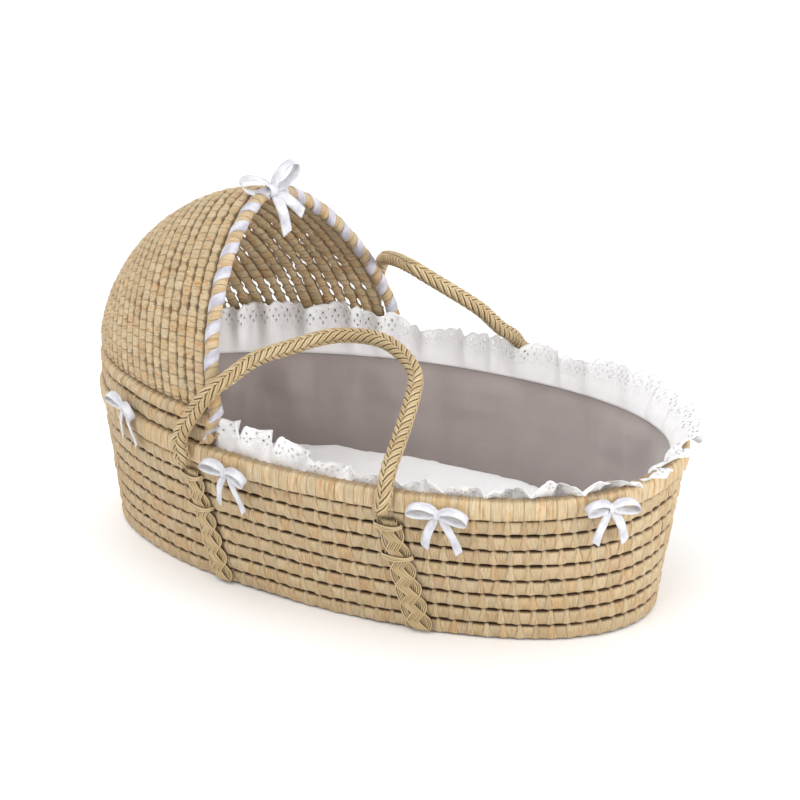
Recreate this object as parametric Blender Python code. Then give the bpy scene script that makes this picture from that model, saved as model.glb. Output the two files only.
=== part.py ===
"""Hooded Moses basket: a woven baby cradle with two folding carry handles, a fixed hood,
a fabric liner with an eyelet ruffle, and a foam mattress in a fitted sheet.

Metres, +Z up. +X runs to the foot end, -Y is the near side, and the origin is the
middle of the basket's underside.
"""

import math
from dataclasses import dataclass

import bmesh
import bpy
import numpy as np
from mathutils import Matrix, Vector

# Overall basket
RIM_HALF_LENGTH = 0.405
RIM_HALF_WIDTH = 0.244
FLOOR_HALF_LENGTH = 0.381
FLOOR_HALF_WIDTH = 0.181
WIDEST_X = 0.029
RIM_HEIGHT = 0.202
HEAD_SHARPNESS = (2.06, 1.83)
FOOT_SHARPNESS = (2.14, 2.35)

# Woven base, wall and rim row
BASE_THICKNESS = 0.012
WALL_THICKNESS = 0.012
WALL_ROWS = 8
ROW_BULGE = 0.003
RIM_ROW_HEIGHT = 0.026
RIM_ROW_THICKNESS = 0.0175
RIM_OVERHANG = 0.005

# Hood, its lowest rows and its front hoop
HOOD_FRONT_X = -0.094
HOOD_HEIGHT = 0.217
HOOD_THICKNESS = 0.012
HOOD_ROWS_INSET = 0.012
HOOD_ARCH_INSET = 0.0155
HOOD_LEAN = math.radians(15.6)
HOOD_ARCH_SHARPNESS = 1.6
HOOD_BACK_SHARPNESS = 1.6
HOOD_END = 0.96
COLLAR_HEIGHT = 0.022
COLLAR_THICKNESS = 0.016
SEAM_RADIUS = 0.009
HOOP_RADIUS = 0.00825
RIBBON_PITCH = 0.034
RIBBON_WIDTH = 0.016
RIBBON_THICKNESS = 0.0008

# Carry handles and the flat braids that hold them
HANDLE_RADIUS = 0.0095
HANDLE_STANDOFF = 0.004
HINGE_BELOW_RIM = 0.024
HEAD_FOOT_X = -0.130
NEAR_FOOT_X = 0.150
FAR_FOOT_X = 0.100
STRAP_WIDTH = 0.033
STRAP_NECK_WIDTH = 0.024
STRAP_THICKNESS = 0.008
STRAP_DRIFT = 0.012
TIE_RADIUS = 0.0016
TIE_DROPS = (0.008, 0.055)

# Bedding and trim
LINER_THICKNESS = 0.004
LINER_BELOW_RIM = 0.015
PAD_THICKNESS = 0.050
SHEET_THICKNESS = 0.001
RUFFLE_THICKNESS = 0.008
RUFFLE_NEAR_ABOVE_RIM = 0.012
RUFFLE_FAR_ABOVE_RIM = 0.026
BOW_SPAN = 0.070
BOW_DROP = 0.075
BOW_THICKNESS = 0.006
HOOD_BOW_SCALE = 1.2
BOW_PLACES = ((-0.258, 0.008), (-0.064, -0.019), (0.213, -0.018), (0.386, -0.012))

# Clearances
TOUCH = 0.0003
FABRIC_GAP = 0.001
PAD_GAP = 0.003
SHEET_GAP = 0.002
RIBBON_GAP = 0.0012

# Facets round the basket, round the hood's base and along the handles
ROUND_STEPS = 56
HEAD_STEPS = 30
ARCH_STEPS = 22
HANDLE_STEPS = 40
RIBBON_STEPS = 10

WALL_TOP = RIM_HEIGHT - RIM_ROW_HEIGHT - TOUCH
WRAP_RADIUS = HOOP_RADIUS / math.cos(math.pi / RIBBON_STEPS) + RIBBON_GAP + RIBBON_THICKNESS
COLLAR_BOTTOM = RIM_HEIGHT + TOUCH
COLLAR_TOP = COLLAR_BOTTOM + COLLAR_HEIGHT
SEAM_HEIGHT = COLLAR_TOP + TOUCH + SEAM_RADIUS
HOOD_BASE = SEAM_HEIGHT + SEAM_RADIUS + TOUCH
HINGE_HEIGHT = RIM_HEIGHT - HINGE_BELOW_RIM
BEDDING_BOTTOM = BASE_THICKNESS + TOUCH
WALL_LEVELS = tuple(WALL_TOP * share for share in (0.25, 0.5, 0.75, 1.0))

# Handle curves: position along the basket, height above the hinge, inward lean in degrees.
# The head-side leg rises outside the hoop, passes in front of it and only then leans in.
NEAR_HANDLE = (
    (HEAD_FOOT_X, 0.0, 0), (-0.134, 0.035, 0), (-0.109, 0.075, 0), (-0.090, 0.099, 3),
    (-0.076, 0.121, 18), (-0.061, 0.167, 42), (-0.012, 0.222, 53), (0.046, 0.229, 54),
    (0.096, 0.205, 54), (0.121, 0.168, 52), (0.143, 0.088, 40), (0.155, 0.030, 10),
    (NEAR_FOOT_X, 0.0, 0),
)
FAR_HANDLE = (
    (HEAD_FOOT_X, 0.0, 0), (-0.137, 0.060, 0), (-0.131, 0.112, 2), (-0.112, 0.145, 9),
    (-0.090, 0.165, 18), (-0.064, 0.185, 26), (-0.027, 0.208, 34), (0.005, 0.221, 39),
    (0.063, 0.157, 39), (0.083, 0.100, 36), (0.083, 0.052, 16), (0.091, 0.034, 4),
    (FAR_FOOT_X, 0.0, 0),
)


@dataclass(frozen=True)
class Outline:
    """An egg-shaped plan outline, widest at WIDEST_X, with its own sharpness at each end."""

    half_length: float
    half_width: float
    head_sharpness: float
    foot_sharpness: float

    def half_width_at(self, x):
        """Half the outline's width at a place along the basket."""
        sharpness, reach = self._end(x - WIDEST_X)
        share = min(abs((x - WIDEST_X) / reach), 1.0)
        return self.half_width * (1.0 - share**sharpness) ** (1.0 / sharpness)

    def stations(self, count, cut_x=None):
        """Evenly spaced points and outward normals, anticlockwise from the foot end.

        With cut_x, only the stretch round the head end beyond that x.
        """
        turn = np.linspace(0.0, 2.0 * math.pi, 1441)
        across, along = np.sin(turn), np.cos(turn)
        sharpness = np.where(along < 0.0, self.head_sharpness, self.foot_sharpness)
        reach = np.where(along < 0.0, self.half_length + WIDEST_X, self.half_length - WIDEST_X)
        x = WIDEST_X + reach * np.sign(along) * np.abs(along) ** (2.0 / sharpness)
        y = self.half_width * np.sign(across) * np.abs(across) ** (2.0 / sharpness)
        if cut_x is not None:
            kept = x < cut_x
            x, y = x[kept], y[kept]
        length = np.concatenate([[0.0], np.cumsum(np.hypot(np.diff(x), np.diff(y)))])
        places = np.linspace(0.0, length[-1], count, endpoint=cut_x is not None)
        points = np.stack([np.interp(places, length, x), np.interp(places, length, y)], axis=1)
        step = np.roll(points, -1, axis=0) - np.roll(points, 1, axis=0)
        if cut_x is not None:
            step[0], step[-1] = points[1] - points[0], points[-1] - points[-2]
        step /= np.linalg.norm(step, axis=1)[:, None]
        return points, np.stack([step[:, 1], -step[:, 0]], axis=1)

    def _end(self, offset):
        if offset < 0.0:
            return self.head_sharpness, self.half_length + WIDEST_X
        return self.foot_sharpness, self.half_length - WIDEST_X


RIM = Outline(RIM_HALF_LENGTH, RIM_HALF_WIDTH, HEAD_SHARPNESS[1], FOOT_SHARPNESS[1])


def wall_outline(height):
    """The wall's outer outline at a height, under the rim row's overhang."""
    share = min(height / WALL_TOP, 1.0)

    def mix(low, high):
        return low + (high - low) * share

    return Outline(
        mix(FLOOR_HALF_LENGTH, RIM_HALF_LENGTH - RIM_OVERHANG),
        mix(FLOOR_HALF_WIDTH, RIM_HALF_WIDTH - RIM_OVERHANG),
        mix(*HEAD_SHARPNESS),
        mix(*FOOT_SHARPNESS),
    )


def rim_outline(height):
    """The rim's outer outline, the same at every height."""
    return RIM


def material(name, colour, roughness=0.8, metallic=0.0):
    """A plain Principled material, made once."""
    found = bpy.data.materials.get(name)
    if found:
        return found
    made = bpy.data.materials.new(name)
    made.use_nodes = True
    shader = made.node_tree.nodes["Principled BSDF"]
    shader.inputs["Base Color"].default_value = (*colour, 1.0)
    shader.inputs["Roughness"].default_value = roughness
    shader.inputs["Metallic"].default_value = metallic
    made.diffuse_color = (*colour, 1.0)
    return made


def husk():
    """Dried corn husk: the base, the wall and the hood."""
    return material("husk", (0.62, 0.44, 0.22), 0.75)


def rope():
    """Braided husk rope of the handles and straps."""
    return material("rope", (0.68, 0.51, 0.27), 0.7)


def satin():
    """White satin ribbon."""
    return material("satin", (0.92, 0.92, 0.94), 0.35)


def link(name, data, finish, place=Matrix.Identity(4)):
    """Adds a named object with its material to the basket's collection."""
    made = bpy.data.objects.new(name, data)
    data.materials.append(finish)
    made.matrix_world = place
    bpy.data.collections[COLLECTION].objects.link(made)
    return made


def solid(name, points, faces, finish):
    """A mesh object from points and faces, with its faces turned outwards."""
    mesh = bpy.data.meshes.new(name)
    mesh.from_pydata([tuple(point) for point in points], [], faces)
    shape = bmesh.new()
    shape.from_mesh(mesh)
    bmesh.ops.recalc_face_normals(shape, faces=shape.faces)
    shape.to_mesh(mesh)
    shape.free()
    mesh.shade_smooth()
    mesh.set_sharp_from_angle(angle=math.radians(40))
    return link(name, mesh, finish)


def loft(name, rings, finish, closed_rings=True, closed_stack=False):
    """Joins equal rings of points in order, with a cap at each end unless the stack closes."""
    size = len(rings[0])
    points = [point for ring in rings for point in ring]
    faces = []
    for row in range(len(rings) - (0 if closed_stack else 1)):
        low, high = row * size, (row + 1) % len(rings) * size
        for place in range(size if closed_rings else size - 1):
            after = (place + 1) % size
            faces.append((low + place, low + after, high + after, high + place))
    if not closed_stack:
        faces.append(tuple(range(size)))
        faces.append(tuple(range(len(points) - size, len(points))))
    return solid(name, points, faces, finish)


def ring_at(outline, inset, height, count, cut_x=None):
    """A ring of points round an outline, moved inwards, at one height."""
    points, normals = outline(height).stations(count, cut_x)
    moved = points - inset * normals
    return [(x, y, height) for x, y in moved]


def band(name, outline, profile, finish, cut_x=None):
    """A body whose closed (inset, height) profile runs round an outline."""
    count = ROUND_STEPS if cut_x is None else HEAD_STEPS
    rings = [ring_at(outline, inset, height, count, cut_x) for inset, height in profile]
    if cut_x is None:
        return loft(name, rings, finish, closed_stack=True)
    return loft(name, list(zip(*rings)), finish)


def tube(name, points, radius, finish, place=Matrix.Identity(4), cyclic=False):
    """A round rod along a list of points."""
    data = bpy.data.curves.new(name, "CURVE")
    data.dimensions = "3D"
    data.bevel_depth = radius
    data.bevel_resolution = 2
    data.use_fill_caps = True
    spline = data.splines.new("POLY")
    spline.points.add(len(points) - 1)
    for point, (x, y, z) in zip(spline.points, points):
        point.co = (x, y, z, 1.0)
    spline.use_cyclic_u = cyclic
    return link(name, data, finish, place)


def smooth_path(controls, steps):
    """Points along a Catmull-Rom curve through the controls."""
    known = np.array(controls, dtype=float)
    padded = np.vstack([2 * known[0] - known[1], known, 2 * known[-1] - known[-2]])
    path = []
    for place in np.linspace(0.0, len(known) - 1.0, steps):
        first = min(int(place), len(known) - 2)
        t = place - first
        a, b, c, d = padded[first:first + 4]
        bend = (2 * a - 5 * b + 4 * c - d) * t * t + (3 * b - a - 3 * c + d) * t**3
        path.append(0.5 * (2 * b + (c - a) * t + bend))
    return np.array(path)


def spaced(points, count):
    """The same path in equal steps."""
    points = np.asarray(points, dtype=float)
    length = np.concatenate([[0.0], np.cumsum(np.linalg.norm(np.diff(points, axis=0), axis=1))])
    places = np.linspace(0.0, length[-1], count)
    return np.stack([np.interp(places, length, axis) for axis in points.T], axis=1)


def wall_point(x, height, out, side):
    """A point outside the wall at a place along it. side is -1 for near and 1 for far."""
    outline = wall_outline(height)
    step = 0.001
    slope = (outline.half_width_at(x + step) - outline.half_width_at(x - step)) / (2 * step)
    size = math.hypot(slope, 1.0)
    across = outline.half_width_at(x) + out / size
    return (x - out * slope / size, side * across, height)


def build_base():
    """The coiled oval mat that closes the bottom, inside the wall's lowest row."""
    inset = WALL_THICKNESS + 2 * TOUCH
    rings = [ring_at(wall_outline, inset, height, ROUND_STEPS) for height in (0.0, BASE_THICKNESS)]
    loft("base_mat", rings, husk())


def build_wall():
    """The woven wall: stacked rows, each swelling between its stitches."""
    row = WALL_TOP / WALL_ROWS
    profile = []
    for index in range(WALL_ROWS):
        profile.append((ROW_BULGE, index * row))
        profile.append((0.0, (index + 0.5) * row))
    profile.append((ROW_BULGE, WALL_TOP))
    for height in (*reversed(WALL_LEVELS), BASE_THICKNESS, 0.0):
        profile.append((WALL_THICKNESS, height))
    band("wall_weave", wall_outline, profile, husk())


def rounded_profile(inset, height, half_thickness, half_height, sides=8):
    """A rounded box section about a centre, as (inset, height) points."""
    profile = []
    for index in range(sides):
        turn = 2.0 * math.pi * (index + 0.5) / sides
        along, up = math.cos(turn), math.sin(turn)
        profile.append((
            inset + half_thickness * math.copysign(min(1.0, 1.1 * abs(along)), along),
            height + half_height * math.copysign(min(1.0, 1.1 * abs(up)), up),
        ))
    return profile


def build_rim():
    """The larger top row that finishes the wall."""
    profile = rounded_profile(
        RIM_ROW_THICKNESS / 2, RIM_HEIGHT - RIM_ROW_HEIGHT / 2,
        RIM_ROW_THICKNESS / 2, RIM_ROW_HEIGHT / 2,
    )
    band("rim_row", rim_outline, profile, husk())


def build_hood_rows():
    """The collar row and the seam coil that carry the hood round the head end."""
    reach = HOOD_FRONT_X + HOOP_RADIUS + TOUCH
    profile = rounded_profile(
        HOOD_ROWS_INSET, COLLAR_BOTTOM + COLLAR_HEIGHT / 2, COLLAR_THICKNESS / 2, COLLAR_HEIGHT / 2
    )
    band("hood_collar_row", rim_outline, profile, husk(), cut_x=reach)
    path = ring_at(rim_outline, HOOD_ROWS_INSET, SEAM_HEIGHT, HEAD_STEPS, cut_x=reach)
    tube("hood_seam_coil", path, SEAM_RADIUS, husk())


def hood_arch(base_x, share, grow, steps):
    """One arch of the hood, from the far side over to the near side.

    share runs from 0 at the opening to 1 at the head end, and grow moves the arch outwards.
    """
    half = RIM.half_width_at(base_x) - HOOD_ARCH_INSET + grow
    fall = (1.0 - share**HOOD_BACK_SHARPNESS) ** (1.0 / HOOD_BACK_SHARPNESS)
    height = HOOD_HEIGHT * fall + grow
    arch = []
    for turn in np.linspace(0.0, math.pi, steps):
        across, up = math.cos(turn), abs(math.sin(turn))
        rise = height * up ** (2.0 / HOOD_ARCH_SHARPNESS)
        y = half * math.copysign(abs(across) ** (2.0 / HOOD_ARCH_SHARPNESS), across)
        arch.append((base_x - rise * math.tan(HOOD_LEAN), y, HOOD_BASE + rise))
    return arch


def build_hood():
    """The hood's shell, open in front and below."""
    front = HOOD_FRONT_X - (WRAP_RADIUS + TOUCH) / math.cos(HOOD_LEAN)
    back = -(RIM_HALF_LENGTH - HOOD_ROWS_INSET)
    shares = HOOD_END * np.linspace(0.0, 1.0, 13) ** 0.8
    half = HOOD_THICKNESS / 2
    outer = [hood_arch(front + (back - front) * s, s, half, ARCH_STEPS) for s in shares]
    inner = [hood_arch(front + (back - front) * s, s, -half, ARCH_STEPS) for s in shares[:-1]]
    wide = front + (back - front) * shares[-1] + HOOD_THICKNESS
    inner.append(hood_arch(wide, shares[-1], -half, ARCH_STEPS))
    rings = []
    for outside, inside in zip(outer, inner):
        rings.append(list(outside) + list(reversed(inside)))
    points = [point for ring in rings for point in ring]
    size = len(rings[0])
    last = (len(rings) - 1) * size
    faces = []
    for row in range(len(rings) - 1):
        for place in range(size):
            after = (place + 1) % size
            low = row * size
            faces.append((low + place, low + after, low + size + after, low + size + place))
    for place in range(ARCH_STEPS - 1):
        other = size - 1 - place
        faces.append((place, place + 1, other - 1, other))
    faces.append(tuple(range(last, last + ARCH_STEPS)))
    faces.append(tuple(range(last + ARCH_STEPS, last + size)))
    faces.append((last, last + ARCH_STEPS - 1, last + ARCH_STEPS, last + size - 1))
    solid("hood_weave", points, faces, husk())


def build_hoop():
    """The round hoop of the hood's opening, and the satin ribbon wound along it."""
    foot = HOOD_BASE + HOOP_RADIUS * math.sin(HOOD_LEAN)
    arch = [point for point in hood_arch(HOOD_FRONT_X, 0.0, 0.0, 721) if point[2] > foot]
    arch = spaced(arch, 49)
    tube("hood_hoop", arch, HOOP_RADIUS, husk())
    fine = spaced(arch, 601)
    length = float(np.linalg.norm(np.diff(fine, axis=0), axis=1).sum())
    facing = np.array([math.cos(HOOD_LEAN), 0.0, math.sin(HOOD_LEAN)])
    ahead = np.gradient(fine, axis=0)
    ahead /= np.linalg.norm(ahead, axis=1)[:, None]
    outward = np.cross(ahead, facing)
    margin = RIBBON_PITCH / 2
    turns = (length - 2 * margin) / RIBBON_PITCH
    inner = WRAP_RADIUS - RIBBON_THICKNESS
    rings = []
    for step in range(int(turns * RIBBON_STEPS)):
        angle = 2.0 * math.pi * step / RIBBON_STEPS
        middle = margin + RIBBON_PITCH * step / RIBBON_STEPS
        ring = []
        for offset, radius in (
            (-RIBBON_WIDTH / 2, inner), (RIBBON_WIDTH / 2, inner),
            (RIBBON_WIDTH / 2, WRAP_RADIUS), (-RIBBON_WIDTH / 2, WRAP_RADIUS),
        ):
            index = (middle + offset) / length * (len(fine) - 1)
            low = int(index)
            centre = fine[low] + (fine[low + 1] - fine[low]) * (index - low)
            ring.append(centre + radius * (math.cos(angle) * outward[low] + math.sin(angle) * facing))
        rings.append(ring)
    loft("hood_hoop_ribbon", rings, satin())


def foot_point(x, side):
    """Where a handle leg meets its hinge, outside the rim row."""
    out = HANDLE_RADIUS + HANDLE_STANDOFF
    return Vector((x, side * (RIM.half_width_at(x) + out), HINGE_HEIGHT))


def build_handle(name, controls, side):
    """A braided carry handle, with its origin between its two hinges."""
    head, foot = foot_point(controls[0][0], side), foot_point(controls[-1][0], side)
    centre = (head + foot) / 2
    points = []
    for x, height, lean in smooth_path(controls, HANDLE_STEPS):
        across = head.y + (foot.y - head.y) * (x - head.x) / (foot.x - head.x)
        angle = math.radians(lean)
        place = Vector((x, across - side * height * math.sin(angle), head.z + height * math.cos(angle)))
        points.append(place - centre)
    tube(name, points, HANDLE_RADIUS, rope(), Matrix.Translation(centre))


def build_strap(name, x, side):
    """A flat braid down the wall under a handle's foot, wider below its neck."""
    top = HINGE_HEIGHT - HANDLE_RADIUS - TOUCH
    rings = []
    for share in np.linspace(0.0, 1.0, 9):
        height = TOUCH * 4 + (top - TOUCH * 4) * share
        spread = STRAP_WIDTH + (STRAP_NECK_WIDTH - STRAP_WIDTH) * share**3
        middle = x + STRAP_DRIFT * (1.0 - share)
        places = [middle + spread * part for part in (-0.5, 0.0, 0.5)]
        ring = [wall_point(place, height, STRAP_THICKNESS + TOUCH, side) for place in places]
        ring += [wall_point(place, height, TOUCH, side) for place in reversed(places)]
        rings.append(ring)
    loft(name, rings, rope())
    for label, drop in zip(("upper", "lower"), TIE_DROPS):
        build_tie(f"{name.replace('strap', 'tie')}_{label}", x, top - drop, top, side)


def build_tie(name, x, height, top, side):
    """A thin husk cord bound over a strap."""
    share = height / top
    spread = STRAP_WIDTH + (STRAP_NECK_WIDTH - STRAP_WIDTH) * share**3
    middle = x + STRAP_DRIFT * (1.0 - share)
    over = STRAP_THICKNESS + TIE_RADIUS + 4 * TOUCH
    clear = spread / 2 + TIE_RADIUS + 4 * TOUCH
    controls = (
        (-clear, TIE_RADIUS + TOUCH), (-clear, over * 0.75), (-clear * 0.8, over),
        (0.0, over), (clear * 0.8, over), (clear, over * 0.75), (clear, TIE_RADIUS + TOUCH),
    )
    points = [wall_point(middle + along, height, out, side) for along, out in controls]
    tube(name, points, TIE_RADIUS, rope())


def build_bedding():
    """The liner, the foam pad, its fitted sheet and the ruffle."""
    liner_out = max(RIM_ROW_THICKNESS - RIM_OVERHANG, WALL_THICKNESS + TOUCH) + FABRIC_GAP
    liner_in = liner_out + LINER_THICKNESS
    top = RIM_HEIGHT - LINER_BELOW_RIM
    levels = (BEDDING_BOTTOM, *WALL_LEVELS, top)
    profile = [(liner_out, height) for height in levels]
    profile += [(liner_in, height) for height in reversed(levels)]
    band("liner", wall_outline, profile, material("liner", (0.33, 0.29, 0.27), 0.85))

    low, high = BEDDING_BOTTOM, BEDDING_BOTTOM + PAD_THICKNESS
    sheet_out = liner_in + PAD_GAP
    sheet_in = sheet_out + SHEET_THICKNESS
    pad_out = sheet_in + SHEET_GAP
    foam = material("foam", (0.90, 0.88, 0.80), 0.9)
    loft("mattress_pad", [ring_at(wall_outline, pad_out, z, ROUND_STEPS) for z in (low, high)], foam)
    cap = high + TOUCH
    rings = [
        ring_at(wall_outline, inset, z, ROUND_STEPS)
        for inset, z in (
            (sheet_in, cap), (sheet_in, low), (sheet_out, low), (sheet_out, cap + SHEET_THICKNESS),
        )
    ]
    loft("fitted_sheet", rings, material("sheet", (0.93, 0.93, 0.93), 0.8))

    build_ruffle(liner_in + RIM_OVERHANG, top + TOUCH)


def build_ruffle(inset, low):
    """The eyelet ruffle that stands up from the liner, lower along the near side."""
    rings = []
    for across, high in ((0.0, False), (0.0, True), (RUFFLE_THICKNESS, True), (RUFFLE_THICKNESS, False)):
        ring = []
        for x, y, _ in ring_at(rim_outline, inset + across, low, ROUND_STEPS):
            share = 0.5 + 0.5 * y / RIM_HALF_WIDTH
            rise = RUFFLE_NEAR_ABOVE_RIM + (RUFFLE_FAR_ABOVE_RIM - RUFFLE_NEAR_ABOVE_RIM) * share
            ring.append((x, y, RIM_HEIGHT + rise if high else low))
        rings.append(ring)
    loft("ruffle", rings, material("lace", (0.95, 0.95, 0.95), 0.85), closed_stack=True)


def bow_outline(scale):
    """Half a flat bow, from above the knot round its loop and tail, then mirrored."""
    half = (
        (0.05, 0.05), (0.30, 0.36), (0.45, 0.34), (0.50, 0.18), (0.42, 0.02), (0.12, -0.06),
        (0.34, -0.62), (0.18, -0.68), (0.0, -0.16),
    )
    right = [(x * BOW_SPAN * scale, y * BOW_DROP * scale) for x, y in half]
    return right + [(-x, y) for x, y in reversed(right[:-1])]


def build_bow(name, place, scale=1.0):
    """A tied ribbon bow. Its plane's normal is the place's local Z and its top is local Y."""
    data = bpy.data.curves.new(name, "CURVE")
    data.dimensions = "2D"
    data.fill_mode = "BOTH"
    data.extrude = BOW_THICKNESS / 2
    spline = data.splines.new("POLY")
    outline = bow_outline(scale)
    spline.points.add(len(outline) - 1)
    for point, (x, y) in zip(spline.points, outline):
        point.co = (x, y, 0.0, 1.0)
    spline.use_cyclic_u = True
    link(name, data, satin(), place)


def facing(point, normal):
    """A placement at a point whose local Z is the normal and whose local Y leans up."""
    out = Vector(normal).normalized()
    right = Vector((0.0, 0.0, 1.0)).cross(out).normalized()
    up = out.cross(right)
    turn = Matrix((right, up, out)).transposed().to_4x4()
    return Matrix.Translation(Vector(point)) @ turn


def build_bows():
    """Side bows along both sides of the rim, and the larger one on top of the hood."""
    out = FABRIC_GAP + BOW_THICKNESS / 2
    for side, label in ((-1, "near"), (1, "far")):
        for index, (x, rise) in enumerate(BOW_PLACES, start=1):
            step = 0.001
            slope = (RIM.half_width_at(x + step) - RIM.half_width_at(x - step)) / (2 * step)
            normal = Vector((-slope, side, 0.0)).normalized()
            point = Vector((x, side * RIM.half_width_at(x), RIM_HEIGHT + rise)) + normal * out
            build_bow(f"side_bow_{label}_{index}", facing(point, normal))
    normal = Vector((math.cos(HOOD_LEAN), 0.0, math.sin(HOOD_LEAN)))
    top = Vector((HOOD_FRONT_X - HOOD_HEIGHT * math.tan(HOOD_LEAN), 0.0, HOOD_BASE + HOOD_HEIGHT))
    point = top + normal * (WRAP_RADIUS + FABRIC_GAP + BOW_THICKNESS / 2)
    build_bow("hood_bow", facing(point, normal), HOOD_BOW_SCALE)


def clear_scene():
    """Removes whatever the file opened with."""
    for made in list(bpy.data.objects):
        bpy.data.objects.remove(made, do_unlink=True)


COLLECTION = "baby_cradle"


def main():
    """Builds the whole basket."""
    clear_scene()
    bpy.context.scene.collection.children.link(bpy.data.collections.new(COLLECTION))
    build_base()
    build_wall()
    build_rim()
    build_hood_rows()
    build_hood()
    build_hoop()
    build_handle("handle_near", NEAR_HANDLE, -1)
    build_handle("handle_far", FAR_HANDLE, 1)
    build_strap("strap_near_head", HEAD_FOOT_X, -1)
    build_strap("strap_near_foot", NEAR_FOOT_X, -1)
    build_strap("strap_far_head", HEAD_FOOT_X, 1)
    build_strap("strap_far_foot", FAR_FOOT_X, 1)
    build_bedding()
    build_bows()


if __name__ == "__main__":
    main()
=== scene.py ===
"""Looks of the hooded Moses basket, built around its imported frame.

Metres, +Z up. +X runs to the foot end and -Y is the near side.
"""

import logging
import math
from dataclasses import dataclass, field
from enum import Enum
from typing import Any, Callable, Sequence, Union

import bpy
import numpy as np
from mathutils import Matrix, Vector, noise


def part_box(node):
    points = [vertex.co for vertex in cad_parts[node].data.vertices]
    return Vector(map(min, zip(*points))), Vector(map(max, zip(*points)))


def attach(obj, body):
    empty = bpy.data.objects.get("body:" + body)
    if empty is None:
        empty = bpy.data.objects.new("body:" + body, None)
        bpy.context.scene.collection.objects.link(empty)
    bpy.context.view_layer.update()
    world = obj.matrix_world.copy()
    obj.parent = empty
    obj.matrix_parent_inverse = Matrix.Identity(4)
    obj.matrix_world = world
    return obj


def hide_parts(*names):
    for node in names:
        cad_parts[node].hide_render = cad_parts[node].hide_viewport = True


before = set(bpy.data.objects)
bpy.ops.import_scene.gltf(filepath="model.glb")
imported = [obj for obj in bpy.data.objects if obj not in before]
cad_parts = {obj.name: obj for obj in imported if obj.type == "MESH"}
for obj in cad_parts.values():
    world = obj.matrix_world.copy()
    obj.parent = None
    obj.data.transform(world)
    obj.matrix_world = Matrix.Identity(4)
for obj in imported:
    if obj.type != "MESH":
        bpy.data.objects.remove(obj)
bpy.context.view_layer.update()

LOG = logging.getLogger("basket")
Array = np.ndarray
Colour = tuple[float, float, float]
Place = Callable[[Array, Array], Array]
Mark = Callable[[Array, Array, Array, Array], Array]

# Sizes shared with the frame's curves
RIM_HALF = (0.405, 0.244)
FLOOR_HALF = (0.381, 0.181)
WIDEST_X = 0.029
HEAD_SHARPNESS = (2.06, 1.83)
FOOT_SHARPNESS = (2.14, 2.35)
RIM_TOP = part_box("rim_row")[1].z
WALL_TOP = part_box("wall_weave")[1].z
RIM_OVERHANG = 0.005
HOOD_FRONT_X = -0.094
HOOD_BASE = 0.2429
HOOD_HEIGHT = 0.217
HOOD_LEAN = math.radians(15.6)
HOOD_POWER = 2.0 / 1.6
HOOD_INSET = 0.0155
HOOD_BACK_X = -0.393
HOOP_RADIUS = 0.00825
HINGE_HEIGHT = 0.178
MERGE_DISTANCE = 1e-6
FULL_TURN = 2.0 * math.pi


class Weave(Enum):
    """How husk is wrapped over a row: fans that spread from a stitch, or plain bands."""

    FANS = (0.30, 0.12)
    BANDS = (0.5, 0.5)


# ---------------------------------------------------------------- finishes


class Wire:
    """A shader socket's output. Arithmetic on it adds Math nodes to its material."""

    def __init__(self, recipe: "Recipe", socket: Any) -> None:
        """Keeps the socket and the recipe that it belongs to."""
        self.recipe = recipe
        self.socket = socket

    def _math(self, operation: str, *values: Any) -> "Wire":
        """Adds one Math node."""
        inputs = dict(enumerate(values))
        return self.recipe.add("ShaderNodeMath", {"operation": operation}, inputs)

    def __add__(self, other: Any) -> "Wire":
        """Sum."""
        return self._math("ADD", self, other)

    __radd__ = __add__

    def __sub__(self, other: Any) -> "Wire":
        """Difference."""
        return self._math("SUBTRACT", self, other)

    def __rsub__(self, other: Any) -> "Wire":
        """Difference from a number."""
        return self._math("SUBTRACT", other, self)

    def __mul__(self, other: Any) -> "Wire":
        """Product."""
        return self._math("MULTIPLY", self, other)

    __rmul__ = __mul__

    def __truediv__(self, other: Any) -> "Wire":
        """Quotient."""
        return self._math("DIVIDE", self, other)

    def __rtruediv__(self, other: Any) -> "Wire":
        """Quotient of a number."""
        return self._math("DIVIDE", other, self)

    def __pow__(self, other: Any) -> "Wire":
        """Power."""
        return self._math("POWER", self, other)

    def __lt__(self, other: Any) -> "Wire":
        """One where this is the smaller."""
        return self._math("LESS_THAN", self, other)

    def __gt__(self, other: Any) -> "Wire":
        """One where this is the larger."""
        return self._math("GREATER_THAN", self, other)

    def __abs__(self) -> "Wire":
        """Size without sign."""
        return self._math("ABSOLUTE", self)

    def part(self) -> "Wire":
        """What is left over the whole number below."""
        return self._math("FRACT", self)

    def whole(self) -> "Wire":
        """The whole number below."""
        return self._math("FLOOR", self)

    def wave(self) -> "Wire":
        """Sine."""
        return self._math("SINE", self)

    def smooth(self, low: float, high: float) -> "Wire":
        """A soft step from 0 at low to 1 at high."""
        return self.recipe.add(
            "ShaderNodeMapRange",
            {"interpolation_type": "SMOOTHSTEP"},
            {"Value": self, "From Min": low, "From Max": high},
        )


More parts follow.
